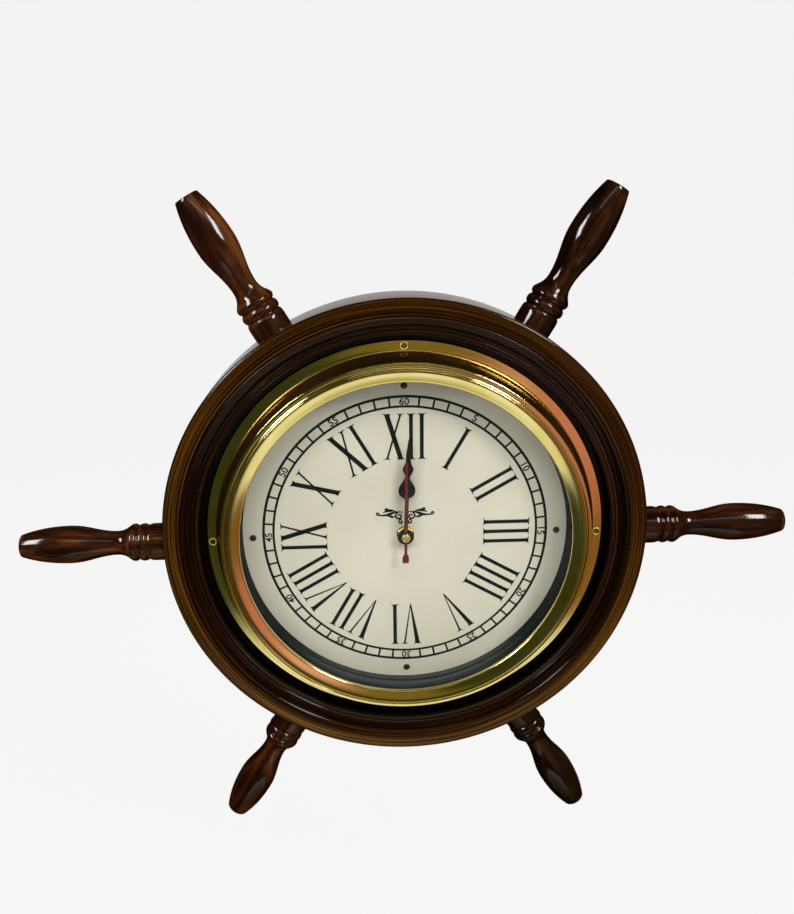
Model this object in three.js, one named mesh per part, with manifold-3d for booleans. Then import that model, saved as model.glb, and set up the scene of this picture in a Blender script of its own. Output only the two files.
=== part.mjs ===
// Ship wheel wall clock: a turned wooden wheel with six handles, a brass porthole and a quartz clock.
// Millimetres. The wheel's axis is Y, the wall is the plane y = 0, the dial faces -Y and +Z is up.
import * as THREE from "three";
import { mergeVertices } from "three/addons/utils/BufferGeometryUtils.js";
import Module from "manifold-3d";

const wasm = await Module();
wasm.setup();

// Fits
const SEAT = 0.3; // between two pieces that rest on each other
const THIN_SEAT = 0.15; // the same between thin flat pieces
const RUNNING = 0.13; // round an arbor that turns
const PRESSED = 0.06; // round a tube that a hub is pushed on
const THROUGH = 1; // how far a cutting tool runs past the face it opens

// Driving sizes: the brass porthole. Depths are measured back from the rim's front face.
const bezel = {
  openingR: 97,
  lipWidth: 1.2,
  lipRise: 1.0,
  faceWidth: 5.5,
  coveWidth: 2.0,
  rollWidth: 2.4,
  proud: 4.5,
  lipThickness: 1.3,
  crestRise: 2.5,
  coveRise: 0.5,
  rollRise: 0.9,
  rollThickness: 1.9,
  skirtWall: 1.3,
  skirtLength: 7.2,
};
const neck = { overhang: 1.6, wall: 1.3, flare: 3.6 };
const flange = { filletR: 0.9, landWidth: 6.2, rollR: 0.9, frontDepth: 9.8, thickness: 1.2 };
const glass = { thickness: 2 };
const spacer = { wall: 2.4, inset: 0.2 };

// Driving sizes: the wooden wheel
const rim = {
  recessGap: 3.4,
  landWidth: 3.1,
  landDepth: 4,
  innerBeadWidth: 2.4,
  innerBeadRise: 0.8,
  coveWidth: 2.6,
  coveLip: 0.8,
  quirk: 0.4,
  outerBeadWidth: 2.9,
  outerBeadRise: 1,
  grooveDepth: 1.1,
  faceWidth: 9.8,
  cornerR: 1.8,
  backChamfer: 1,
  cavityR: 80,
};
const handle = {
  count: 6,
  axisDepth: 14.5,
  collarR: 11.1,
  collarLength: 10.3,
  collarEase: 3.7,
  beadR: 11.2,
  firstBead: 5.9,
  secondBead: 5.1,
  grooveDrop: 1.3,
  neckR: 7.15,
  coveLength: 6.4,
  bellyR: 11.2,
  neckToBelly: 29.3,
  bellyToTip: 29.3,
  tipR: 6.4,
  taperPower: 2.2,
  tenonR: 6,
  tenonLength: 16,
};

// Driving sizes: the dial, its hands and their hardware
const dial = { depth: 13.3, thickness: 1.6, margin: 7.5, screwR: 91.2 };
const hourHand = { length: 39.6, thickness: 0.4, hubR: 4.4, stem: 1.1, bulbR: 29, bulbWidth: 10, lean: 2 };
const minuteHand = { length: 60.7, thickness: 0.4, hubR: 4.95, stem: 1.1, nodeR: 42.5, nodeWidth: 6.4, lean: 2.3 };
const secondHand = { length: 47.2, thickness: 0.35, width: 2.1, tail: 16.2, tailStem: 1.6, paddle: 3.9, lean: 0.9 };
const hub = { bossR: 3, bossHeight: 0.6, collar: 0.5, capR: 2.65, capRise: 1, stackGap: 1 };
const nut = { acrossFlats: 9, thickness: 1.4, washerR: 5.25, washerThickness: 0.5 };
const rubberWasher = { outerR: 10, thickness: 0.8 };

// Driving sizes: the quartz movement
const battery = { r: 7.1, length: 49.5, nubR: 2.7, nubLength: 1, looseness: 0.2 };
const shell = { wall: 1.2, thinWall: 1, cornerR: 3, endRoom: 1.55, above: 26.8, below: 11.2, wallGap: 0.2 };
const spindle = { threadR: 3.9, threadTop: 0.4, hourTubeR: 2.5, hourBoreR: 1.75, minuteTubeR: 1.6, arborR: 0.6 };
const train = { wheel: 0.8, gap: 0.5, arborR: 0.5, pivotR: 0.4, plate: 1, bossWall: 0.9, pivotDepth: 0.8 };
const mesh = {
  goingDistance: 10.8, // the third wheel's arbor to the spindle
  motionModule: 0.45, // the wheels between the cannon pinion and the hour hand
  secondsShare: 1.5, // the seconds wheel's module over the fifth wheel's
  addendum: 0.7,
  dedendum: 1.15,
  tipShare: 0.06,
};
const teeth = {
  rotorPinion: 6,
  fifthWheel: 36,
  fifthPinion: 6,
  secondsWheel: 30,
  secondsPinion: 6,
  thirdWheel: 45,
  thirdPinion: 6,
  centreWheel: 48,
  cannonPinion: 10,
  minuteWheel: 30,
  minutePinion: 8,
  hourWheel: 32,
  knobPinion: 16,
};
const knob = { discR: 5, arborR: 1.2, flutes: 8, discThickness: 3, wellGap: 0.8 };
const rotorMagnet = { r: 2.5, height: 2 };
const motor = {
  plate: 0.8,
  holeGap: 0.6,
  land: 1.4,
  coreWidth: 2.6,
  armGap: 0.4,
  coilR: 3.3,
  coilLength: 18,
  flangeR: 3.9,
  flange: 0.8,
  pillarR: 1,
  pillarReach: 5,
};
const board = { width: 16, height: 9, thickness: 0.8, crystalR: 1, crystalLength: 6 };
const contact = { strip: 0.4, width: 6, tab: 9 };

// Driving sizes: screws and the hanger
const flangeScrew = { headR: 2.1, shankR: 1.2, length: 10, countersink: 1.1 };
const dialScrew = { headR: 2, shankR: 1, length: 8, dome: 1 };
const hanger = {
  width: 36,
  height: 22,
  thickness: 1.5,
  slotR: 2.4,
  entryR: 4.8,
  slotLength: 8,
  screwReach: 13,
  pocketDepth: 7,
  pocketMargin: 1.2,
};
const hangerScrew = { headR: 3, shankR: 1.5, length: 12, countersink: 1.2 };

// How finely round forms are divided
const RING_SIDES = 36;
const HANDLE_SIDES = 10;
const SMALL_SIDES = 12;
const PIN_SIDES = 8;
const PIVOT_SIDES = 6;
const CORNER_STEPS = 2;

// Radii that follow from the porthole outwards
const bezelR = bezel.openingR + bezel.lipWidth + bezel.faceWidth + bezel.coveWidth + bezel.rollWidth;
const neckR = bezelR - neck.overhang;
const neckBoreR = neckR - neck.wall;
const skirtR = neckBoreR - SEAT;
const skirtBoreR = skirtR - bezel.skirtWall;
const flangeLandR = neckR + neck.flare + flange.filletR;
const flangeR = flangeLandR + flange.landWidth + flange.rollR;
const flangeScrewR = (flangeLandR + flangeR) / 2;
const dialR = bezel.openingR + dial.margin;
const ledgeR = dialR + SEAT;
const recessR = flangeR + rim.recessGap;
const innerBeadR = recessR + rim.landWidth;
const coveR = innerBeadR + rim.innerBeadWidth;
const outerBeadR = coveR + rim.coveWidth;
const faceR = outerBeadR + rim.outerBeadWidth;
const rimR = faceR + rim.faceWidth;

// Depths that follow from the dial backwards
const flangeSeatDepth = flange.frontDepth + flange.thickness + SEAT;
const dialBackDepth = dial.depth + dial.thickness;
const ledgeDepth = dialBackDepth + SEAT;
const rubberDepth = dialBackDepth + THIN_SEAT;
const caseDepth = rubberDepth + rubberWasher.thickness + THIN_SEAT;
const caseFloorDepth = caseDepth + shell.wall;
const batteryDepth = caseFloorDepth + battery.looseness + battery.r;
const caseBackDepth = batteryDepth + battery.r + shell.thinWall - battery.looseness / 2;
const rimThickness = caseBackDepth + shell.wallGap;

// The y of a level that lies this far behind the rim's front face
const level = (depth) => depth - rimThickness;

// The train's layers, from the dial backwards: each is a wheel's thickness and a gap
const layerPitch = train.wheel + train.gap;
const hourLayer = caseFloorDepth + train.gap;
const minuteLayer = hourLayer + layerPitch;
const centreLayer = minuteLayer + layerPitch;
const plateDepth = centreLayer + layerPitch;
const thirdLayer = plateDepth + train.plate + train.gap;
const secondsLayer = thirdLayer + layerPitch;
const fifthLayer = secondsLayer + layerPitch;
const bossDepth = fifthLayer + layerPitch;
const caseSplitDepth = plateDepth + train.plate / 2;

// Modules and distances: a pair shares one module, and the concentric pairs share one distance
const pairDistance = (a, b, module) => ((a + b) * module) / 2;
const thirdModule = (2 * mesh.goingDistance) / (teeth.secondsPinion + teeth.thirdWheel);
const centreModule = (2 * mesh.goingDistance) / (teeth.thirdPinion + teeth.centreWheel);
const motionDistance = pairDistance(teeth.cannonPinion, teeth.minuteWheel, mesh.motionModule);
const hourModule = (2 * motionDistance) / (teeth.minutePinion + teeth.hourWheel);
const knobDistance = pairDistance(teeth.knobPinion, teeth.minuteWheel, mesh.motionModule);

// Where the arbors stand, seen from the front: x to the right, z up
const bearing = { third: 150, minute: 45, knob: 80, fifth: -20, rotor: -10 };

// The coil stands against the case's right wall and the rotor beside it, so the modules of the last
// two pairs follow from how far they have to reach from the spindle
const bayRoom = battery.length + battery.nubLength + 2 * shell.endRoom;
const caseHalf = bayRoom / 2 + shell.wall;
const coilX = caseHalf - shell.wall - SEAT - motor.flangeR;
const statorHoleR = rotorMagnet.r + motor.holeGap;
const rotorX = coilX - motor.flangeR - motor.armGap - motor.land - statorHoleR;
const reachOf = (a, b, degrees) => pairDistance(a, b, Math.cos(THREE.MathUtils.degToRad(degrees)));
const secondsReach = mesh.secondsShare * reachOf(teeth.fifthPinion, teeth.secondsWheel, bearing.fifth);
const rotorModule = rotorX / (secondsReach + reachOf(teeth.rotorPinion, teeth.fifthWheel, bearing.rotor));
const secondsModule = mesh.secondsShare * rotorModule;
const fifthDistance = pairDistance(teeth.fifthPinion, teeth.secondsWheel, secondsModule);
const rotorDistance = pairDistance(teeth.rotorPinion, teeth.fifthWheel, rotorModule);
const spindleAt = new THREE.Vector2(0, 0);
const thirdAt = arborAt(spindleAt, bearing.third, mesh.goingDistance);
const minuteAt = arborAt(spindleAt, bearing.minute, motionDistance);
const knobAt = arborAt(minuteAt, bearing.knob, knobDistance);
const fifthAt = arborAt(spindleAt, bearing.fifth, fifthDistance);
const rotorAt = arborAt(fifthAt, bearing.rotor, rotorDistance);

// The case, seen from the front
const caseTop = shell.above + shell.wall;
const partitionTop = -shell.below;
const bayTop = partitionTop - shell.thinWall;
const batteryZ = bayTop - battery.looseness - battery.r;
const bayBottom = batteryZ - battery.r - battery.looseness;
const caseBottom = bayBottom - shell.wall;
const wellR = knob.discR + knob.wellGap;
const knobBackDepth = caseBackDepth - SEAT;
const wellDepth = knobBackDepth - knob.discThickness - SEAT;

// The stack of hands, from the dial forwards
const washerDepth = dial.depth - THIN_SEAT - nut.washerThickness;
const nutDepth = washerDepth - THIN_SEAT - nut.thickness;
const threadDepth = nutDepth - spindle.threadTop + SEAT;
const hourHandDepth = nutDepth - hourHand.thickness - SEAT - hub.collar;
const minuteHandDepth = hourHandDepth - hub.stackGap - minuteHand.thickness - hub.collar / 2;
const secondHandDepth = minuteHandDepth - hub.bossHeight - hub.stackGap - secondHand.thickness;

// The hanger plate is let into the back, halfway between the cavity and the rim's edge
const hangerZ = (rim.cavityR + rimR) / 2;

const finish = {
  walnut: { color: 0x3a1d0e, roughness: 0.28, metalness: 0 },
  brass: { color: 0xc8a24a, roughness: 0.18, metalness: 1 },
  glass: { color: 0xdfe8e6, roughness: 0.05, metalness: 0, transparent: true, opacity: 0.2 },
  slate: { color: 0x2b2f31, roughness: 0.5, metalness: 0 },
  cream: { color: 0xd9d6c0, roughness: 0.6, metalness: 0 },
  black: { color: 0x101012, roughness: 0.4, metalness: 0.2 },
  red: { color: 0x5e1013, roughness: 0.4, metalness: 0.1 },
  steel: { color: 0xa8abad, roughness: 0.3, metalness: 1 },
  darkSteel: { color: 0x4a4a48, roughness: 0.4, metalness: 1 },
  casing: { color: 0x17181a, roughness: 0.55, metalness: 0 },
  nylon: { color: 0xe9e6dc, roughness: 0.5, metalness: 0 },
  rubber: { color: 0x1c1c1c, roughness: 0.9, metalness: 0 },
  copper: { color: 0xb4622c, roughness: 0.4, metalness: 0.8 },
  board: { color: 0x2f6b3a, roughness: 0.6, metalness: 0 },
  magnet: { color: 0x3d3d40, roughness: 0.5, metalness: 0.4 },
  cell: { color: 0x3b4f6b, roughness: 0.35, metalness: 0.3 },
};

// Helpers

function arborAt(from, degrees, distance) {
  const angle = THREE.MathUtils.degToRad(degrees);
  return new THREE.Vector2(from.x + distance * Math.cos(angle), from.y + distance * Math.sin(angle));
}

// A closed geometry as a solid that can be joined and cut
function solid(geometry) {
  const plain = geometry.index ? geometry.toNonIndexed() : geometry;
  const bare = new THREE.BufferGeometry().setAttribute("position", plain.getAttribute("position"));
  const merged = mergeVertices(bare, 1e-4);
  const corners = merged.index.array;
  const triVerts = [];
  for (let i = 0; i < corners.length; i += 3) {
    const [a, b, c] = corners.slice(i, i + 3);
    if (a !== b && b !== c && c !== a) triVerts.push(a, b, c);
  }
  const vertProperties = merged.getAttribute("position").array;
  return new wasm.Manifold(new wasm.Mesh({ numProp: 3, vertProperties, triVerts: new Uint32Array(triVerts) }));
}

function joined(first, ...rest) {
  return rest.reduce((whole, piece) => whole.add(piece), first);
}

function without(whole, ...tools) {
  return tools.reduce((left, tool) => left.subtract(tool), whole);
}

// A ring or disc turned about Y from a closed outline of [radius, y]
function turned(outline, sides) {
  const points = outline.map(([r, y]) => new THREE.Vector2(r, y));
  if (THREE.ShapeUtils.area(points) < 0) points.reverse();
  const onAxis = points.findIndex((p, i) => p.x === 0 && points.at(i - 1).x === 0);
  if (onAxis >= 0) points.push(...points.splice(0, onAxis));
  else points.push(points[0].clone());
  return solid(new THREE.LatheGeometry(points, sides));
}

// A tube from one depth to another, or a plain cylinder where the bore is 0
function tube(outerR, boreR, fromDepth, toDepth, sides = SMALL_SIDES) {
  const [near, far] = [level(fromDepth), level(toDepth)];
  const outline = [
    [boreR, near],
    [outerR, near],
    [outerR, far],
    [boreR, far],
  ];
  return turned(outline, sides);
}

const rod = (r, fromDepth, toDepth, sides = SMALL_SIDES) => tube(r, 0, fromDepth, toDepth, sides);

const placed = (piece, at) => piece.translate([at.x, 0, at.y]);

// A flat outline seen from the front, as a plate from one depth to another
function plate(shape, fromDepth, toDepth) {
  const options = { depth: toDepth - fromDepth, bevelEnabled: false, curveSegments: CORNER_STEPS };
  const geometry = new THREE.ExtrudeGeometry(shape, options);
  geometry.rotateX(Math.PI / 2).translate(0, level(toDepth), 0);
  return solid(geometry);
}

function rectangle(left, bottom, right, top) {
  const corners = [
    [left, bottom],
    [right, bottom],
    [right, top],
    [left, top],
  ];
  return new THREE.Shape(corners.map(([x, z]) => new THREE.Vector2(x, z)));
}

function roundedRectangle(left, bottom, right, top, r) {
  const shape = new THREE.Shape();
  shape.absarc(right - r, bottom + r, r, -Math.PI / 2, 0, false);
  shape.absarc(right - r, top - r, r, 0, Math.PI / 2, false);
  shape.absarc(left + r, top - r, r, Math.PI / 2, Math.PI, false);
  shape.absarc(left + r, bottom + r, r, Math.PI, 1.5 * Math.PI, false);
  return shape;
}

// Points of an elliptical arc in [radius, depth], from one angle to another
function arc(centreR, centreDepth, halfWidth, rise, fromDegrees, toDegrees, steps) {
  return Array.from({ length: steps + 1 }, (_, i) => {
    const angle = THREE.MathUtils.degToRad(fromDegrees + ((toDegrees - fromDegrees) * i) / steps);
    return [centreR + halfWidth * Math.cos(angle), centreDepth - rise * Math.sin(angle)];
  });
}

// A raised half-round from its inner radius outwards
const bead = (innerR, width, depth, rise, steps = 3) =>
  arc(innerR + width / 2, depth, width / 2, rise, 180, 0, steps);

const atLevels = (outline) => outline.map(([r, depth]) => [r, level(depth)]);

// Gears

// Angle of a tooth of the second gear, so that it meshes with the first in the direction given
function meshed(firstTooth, firstTeeth, secondTeeth, degrees) {
  const towards = THREE.MathUtils.degToRad(degrees);
  const passed = ((towards - firstTooth) * firstTeeth) / (2 * Math.PI);
  return towards + Math.PI - ((0.5 - passed) * 2 * Math.PI) / secondTeeth;
}

function gear(count, module, tooth, fromDepth, thickness = train.wheel) {
  const pitch = (2 * Math.PI) / count;
  const rootR = (count / 2 - mesh.dedendum) * module;
  const tipR = (count / 2 + mesh.addendum) * module;
  const points = [];
  for (let i = 0; i < count; i++) {
    const flank = [
      [rootR, -0.5],
      [tipR, -mesh.tipShare],
      [tipR, mesh.tipShare],
    ];
    for (const [r, share] of flank) {
      const angle = tooth + (i + share) * pitch;
      points.push(new THREE.Vector2(r * Math.cos(angle), r * Math.sin(angle)));
    }
  }
  return plate(new THREE.Shape(points), fromDepth, fromDepth + thickness);
}

// A boss with a blind hole for a pivot; it stands on toDepth and is open at fromDepth
function pivotBoss(at, pivotR, fromDepth, toDepth) {
  const inward = Math.sign(toDepth - fromDepth);
  const boreR = pivotR + RUNNING;
  const bossR = boreR + train.bossWall;
  const outline = [
    [0, toDepth],
    [bossR, toDepth],
    [bossR, fromDepth],
    [boreR, fromDepth],
    [boreR, fromDepth + inward * (train.pivotDepth + RUNNING)],
    [0, fromDepth + inward * (train.pivotDepth + RUNNING)],
  ];
  return placed(turned(atLevels(outline), PIVOT_SIDES), at);
}

// Screws: the head's top is at y = 0 and the shank runs along +Y

function countersunkScrew({ headR, shankR, length, countersink }) {
  const outline = [
    [0, 0],
    [headR, 0],
    [shankR, countersink],
    [shankR, length - shankR],
    [0, length],
  ];
  return turned(outline, PIN_SIDES);
}

function domedScrew({ headR, shankR, length, dome }) {
  const outline = [
    [0, -dome],
    [headR * 0.7, -dome * 0.7],
    [headR, 0],
    [shankR, 0],
    [shankR, length - shankR],
    [0, length],
  ];
  return turned(outline, PIN_SIDES);
}

// The hole that a countersunk screw needs, seat included
function countersunkHole({ headR, shankR, length, countersink }) {
  const outline = [
    [0, -THROUGH],
    [headR + SEAT, -THROUGH],
    [headR + SEAT, SEAT],
    [shankR + SEAT, countersink + SEAT],
    [shankR + SEAT, length + SEAT],
    [0, length + SEAT],
  ];
  return turned(outline, PIN_SIDES);
}

// Places at equal angles round the axis, each with its direction in the wheel's plane
const around = (count, r) =>
  Array.from({ length: count }, (_, i) => {
    const angle = (i * 2 * Math.PI) / count;
    return { angle, x: r * Math.cos(angle), z: r * Math.sin(angle) };
  });

// The wheel

function makeRim() {
  const coveDepth = rim.landDepth + rim.coveLip;
  const outline = [
    [rim.cavityR, rimThickness],
    [rimR - rim.backChamfer, rimThickness],
    [rimR, rimThickness - rim.backChamfer],
    ...arc(rimR - rim.cornerR, rim.cornerR, rim.cornerR, rim.cornerR, 0, 90, 2),
    [faceR, 0],
    ...bead(outerBeadR, rim.outerBeadWidth - rim.quirk, rim.grooveDepth, rim.outerBeadRise).reverse(),
    ...arc(outerBeadR, coveDepth, rim.coveWidth, coveDepth - rim.grooveDepth, 90, 180, 2).slice(1),
    ...bead(innerBeadR, rim.innerBeadWidth - rim.quirk, coveDepth, rim.innerBeadRise, 2).reverse(),
    [recessR, rim.landDepth],
    [recessR, flangeSeatDepth],
    [ledgeR, flangeSeatDepth],
    [ledgeR, ledgeDepth],
    [rim.cavityR, ledgeDepth],
  ];
  let body = turned(atLevels(outline), RING_SIDES);
  const boreLength = handle.tenonLength + SEAT + THROUGH;
  const tenonBore = solid(
    new THREE.CylinderGeometry(handle.tenonR + SEAT, handle.tenonR + SEAT, boreLength, HANDLE_SIDES),
  );
  for (const { angle } of around(handle.count, rimR)) {
    const socket = tenonBore
      .translate([0, rimR + THROUGH - boreLength / 2, 0])
      .rotate([0, 0, -90])
      .rotate([0, -THREE.MathUtils.radToDeg(angle), 0])
      .translate([0, level(handle.axisDepth), 0]);
    body = body.subtract(socket);
  }
  for (const { x, z } of around(4, flangeScrewR)) {
    const hole = rod(flangeScrew.shankR + SEAT, flangeSeatDepth - THROUGH, flangeScrewTip() + SEAT, PIN_SIDES);
    body = body.subtract(hole.translate([x, 0, z]));
  }
  for (const { x, z } of around(4, dial.screwR)) {
    const hole = rod(dialScrew.shankR + SEAT, ledgeDepth - THROUGH, dial.depth + dialScrew.length + SEAT, PIN_SIDES);
    body = body.subtract(hole.translate([x, 0, z]));
  }
  return without(body, ...hangerPockets());
}

const flangeScrewTip = () => flange.frontDepth + flangeScrew.length;

// The shallow recess for the hanger plate, the deep one for the nail's head, and two screw holes
function hangerPockets() {
  const halfWidth = hanger.width / 2 + SEAT;
  const halfHeight = hanger.height / 2 + SEAT;
  const floor = rimThickness - hanger.thickness - SEAT;
  const seat = plate(
    rectangle(-halfWidth, hangerZ - halfHeight, halfWidth, hangerZ + halfHeight),
    floor,
    rimThickness + THROUGH,
  );
  const deepHalf = hanger.entryR + hanger.pocketMargin;
  const deep = plate(
    roundedRectangle(
      -deepHalf,
      hangerZ - hanger.slotLength / 2 - deepHalf,
      deepHalf,
      hangerZ + hanger.slotLength / 2 + hanger.slotR + hanger.pocketMargin,
      hanger.slotR,
    ),
    floor - hanger.pocketDepth,
    floor + THROUGH,
  );
  const holes = [-1, 1].map((side) =>
    rod(hangerScrew.shankR + SEAT, rimThickness - hangerScrew.length - SEAT, rimThickness, PIN_SIDES).translate([
      side * hanger.screwReach,
      0,
      hangerZ,
    ]),
  );
  return [seat, deep, ...holes];
}

// A handle along +Y: its shoulder is at y = 0 and its tenon lies below
function makeHandle() {
  const firstGroove = handle.collarLength;
  const secondGroove = firstGroove + handle.firstBead;
  const coveStart = secondGroove + handle.secondBead;
  const neckAt = coveStart + handle.coveLength;
  const bellyAt = neckAt + handle.neckToBelly;
  const grooveR = handle.beadR - handle.grooveDrop;
  const round = (from, length) =>
    [0, 0.25, 0.75, 1].map((t) => [grooveR + handle.grooveDrop * Math.sin(Math.PI * t) ** 0.3, from + length * t]);
  const steps = [1, 2, 3];
  const swell = steps.map((i) => {
    const t = i / steps.length;
    const share = (1 - Math.cos(Math.PI * t)) / 2;
    return [handle.neckR + (handle.bellyR - handle.neckR) * share, neckAt + handle.neckToBelly * t];
  });
  const taper = [0.35, 0.65, 0.88, 1].map((t) => {
    const share = 1 - t ** handle.taperPower;
    return [handle.tipR + (handle.bellyR - handle.tipR) * share, bellyAt + handle.bellyToTip * t];
  });
  const outline = [
    [0, -handle.tenonLength],
    [handle.tenonR, -handle.tenonLength],
    [handle.tenonR, 0],
    [handle.collarR, 0],
    [handle.collarR, firstGroove - handle.collarEase],
    [handle.collarR - handle.grooveDrop * 0.3, firstGroove - handle.collarEase * 0.35],
    ...round(firstGroove, handle.firstBead),
    ...round(secondGroove, handle.secondBead).slice(1),
    [(grooveR + handle.neckR) / 2, coveStart + handle.coveLength * 0.35],
    [handle.neckR, neckAt],
    ...swell,
    ...taper,
    [0, bellyAt + handle.bellyToTip],
  ];
  return turned(outline, HANDLE_SIDES);
}

// The brass porthole

function makeFlange() {
  const front = flange.frontDepth;
  const back = front + flange.thickness;
  const skirtEnd = bezel.skirtLength - (bezel.proud - bezel.lipThickness);
  const outline = [
    [neckBoreR + neck.flare, back],
    [neckBoreR, skirtEnd + SEAT],
    [neckBoreR, -neckTop()],
    [neckR, -neckTop()],
    ...arc(flangeLandR, front - flange.filletR, flange.filletR, flange.filletR, 180, 270, 2),
    [flangeR - 2 * flange.rollR, front],
    ...bead(flangeR - 2 * flange.rollR, 2 * flange.rollR, front + 0.2, flange.rollR * 0.7, 2).slice(1),
    [flangeR, back],
  ];
  const body = turned(atLevels(outline), RING_SIDES);
  const hole = countersunkHole(flangeScrew).translate([0, level(front), 0]);
  return without(body, ...around(4, flangeScrewR).map(({ x, z }) => hole.translate([x, 0, z])));
}

// How far the neck's end and the glass's front stand proud of the rim's face
const neckTop = () => bezel.proud - bezel.rollThickness - SEAT;
const glassFront = () => bezel.proud - bezel.lipThickness - SEAT;

function makeBezel() {
  const back = bezel.proud - bezel.lipThickness;
  const faceFrom = bezel.openingR + bezel.lipWidth;
  const crestR = faceFrom + bezel.faceWidth;
  const rollFrom = crestR + bezel.coveWidth;
  const height = (rise) => -bezel.proud - rise;
  const face = [0, 0.35, 0.7, 1].map((t) => [
    faceFrom + bezel.faceWidth * t,
    height(bezel.lipRise + (bezel.crestRise - bezel.lipRise) * Math.sin((Math.PI / 2) * t) ** 0.9),
  ]);
  const outline = [
    [bezel.openingR, -back],
    [bezel.openingR, height(bezel.lipRise * 0.7)],
    ...face,
    [crestR + bezel.coveWidth * 0.4, height((bezel.crestRise + bezel.coveRise) / 2)],
    [crestR + bezel.coveWidth * 0.8, height(bezel.coveRise)],
    ...bead(rollFrom, bezel.rollWidth, -bezel.proud, bezel.rollRise, 2),
    [bezelR, -neckTop() - SEAT],
    [skirtR, -neckTop() - SEAT],
    [skirtR, bezel.skirtLength - back],
    [skirtBoreR, bezel.skirtLength - back],
    [skirtBoreR, -back],
  ];
  return turned(atLevels(outline), RING_SIDES);
}

function makeGlass() {
  return rod(skirtBoreR - SEAT, -glassFront(), -glassFront() + glass.thickness, RING_SIDES);
}

function makeSpacer() {
  const boreR = bezel.openingR + spacer.inset;
  const from = -glassFront() + glass.thickness + SEAT;
  return tube(boreR + spacer.wall, boreR, from, dial.depth - SEAT, RING_SIDES);
}

// The dial and its hands

function makeDial() {
  const body = tube(dialR, spindle.threadR + SEAT, dial.depth, dialBackDepth, RING_SIDES);
  const hole = rod(dialScrew.shankR + SEAT, dial.depth - THROUGH, dialBackDepth + THROUGH, PIN_SIDES);
  return without(body, ...around(4, dial.screwR).map(({ x, z }) => hole.translate([x, 0, z])));
}

// Mirrors the right-hand edge of a hand, listed from hub to tip, into a closed outline
function symmetrical(edge) {
  const right = edge.getPoints(3);
  const left = right.filter((p) => p.x > 0).map((p) => new THREE.Vector2(-p.x, p.y));
  return new THREE.Shape([...right, ...left.reverse()]);
}

// A hand lies along +z, on a round hub with a bored collar behind it
function makeHand({ thickness, hubR }, edge, depth, boreR, collar) {
  const blade = plate(symmetrical(edge), depth, depth + thickness);
  const disc = rod(hubR, depth, depth + thickness);
  const collarPiece = rod(boreR + 0.8, collar.from, collar.to);
  return without(joined(blade, disc, collarPiece), rod(boreR, collar.from - THROUGH, collar.to + THROUGH));
}

function makeHourHand() {
  const { length, stem, bulbR, bulbWidth, hubR } = hourHand;
  const bulb = bulbWidth / 2;
  const edge = new THREE.Path();
  edge.moveTo(stem, hubR / 2);
  edge.lineTo(stem, bulbR - bulb);
  edge.bezierCurveTo(bulb * 0.7, bulbR - bulb * 0.9, bulb, bulbR - bulb * 0.45, bulb, bulbR);
  edge.bezierCurveTo(bulb, bulbR + bulb * 0.7, stem * 1.4, bulbR + bulb, 0, length);
  const collar = { from: hourHandDepth, to: hourHandDepth + hourHand.thickness + hub.collar };
  return makeHand(hourHand, edge, hourHandDepth, spindle.hourTubeR + PRESSED, collar);
}

function makeMinuteHand() {
  const { length, stem, nodeR, nodeWidth, hubR } = minuteHand;
  const edge = new THREE.Path();
  edge.moveTo(stem, hubR / 2);
  edge.lineTo(stem, nodeR - nodeWidth);
  edge.quadraticCurveTo(stem * 1.2, nodeR - nodeWidth * 0.3, nodeWidth / 2, nodeR);
  edge.quadraticCurveTo(stem * 1.4, nodeR + nodeWidth * 0.4, stem * 1.3, nodeR + nodeWidth * 0.9);
  edge.lineTo(0, length);
  const collar = { from: minuteHandDepth - hub.bossHeight, to: minuteHandDepth + minuteHand.thickness };
  const plain = makeHand(minuteHand, edge, minuteHandDepth, spindle.minuteTubeR + PRESSED, collar);
  const boss = tube(hub.bossR, spindle.minuteTubeR + PRESSED, collar.from, collar.to);
  return joined(plain, boss);
}

function makeSecondHand() {
  const { length, thickness, width, tail, tailStem, paddle } = secondHand;
  const paddleLength = tail * 0.3;
  const edge = [
    [width / 2, 0],
    [width / 2 - 0.2, length],
    [0.2 - width / 2, length],
    [-width / 2, 0],
    [-tailStem / 2, paddleLength - tail],
    [-paddle / 2, paddleLength * 0.7 - tail],
    [-paddle / 2, -tail],
    [paddle / 2, -tail],
    [paddle / 2, paddleLength * 0.7 - tail],
    [tailStem / 2, paddleLength - tail],
  ];
  const shape = new THREE.Shape(edge.map(([x, z]) => new THREE.Vector2(x, z)));
  const blade = plate(shape, secondHandDepth, secondHandDepth + thickness);
  const eye = rod(secondBushR() + 0.8, secondHandDepth, secondHandDepth + thickness);
  const bore = rod(secondBushR() + PRESSED, secondHandDepth - THROUGH, secondHandDepth + thickness + THROUGH);
  return without(joined(blade, eye), bore);
}

const secondBushR = () => spindle.arborR + PRESSED + 0.6;

// The brass bush is riveted in the second hand: a domed cap in front and a tube on the arbor
function makeSecondBush() {
  const capBack = secondHandDepth - THIN_SEAT;
  const tubeEnd = minuteHandDepth - hub.bossHeight - SEAT;
  const boreR = spindle.arborR + PRESSED;
  const outline = [
    [0, capBack - hub.capRise],
    [hub.capR * 0.6, capBack - hub.capRise * 0.75],
    [hub.capR, capBack],
    [secondBushR(), capBack],
    [secondBushR(), tubeEnd],
    [boreR, tubeEnd],
    [boreR, capBack],
    [0, capBack],
  ];
  return turned(atLevels(outline), SMALL_SIDES);
}

function makeNut() {
  const cornerR = nut.acrossFlats / 2 / Math.cos(Math.PI / 6);
  const body = rod(cornerR, nutDepth, nutDepth + nut.thickness, 6);
  return body.subtract(rod(spindle.threadR + PRESSED, nutDepth - THROUGH, nutDepth + nut.thickness + THROUGH));
}

const makeWasher = () =>
  tube(nut.washerR, spindle.threadR + SEAT, washerDepth, washerDepth + nut.washerThickness);

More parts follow.
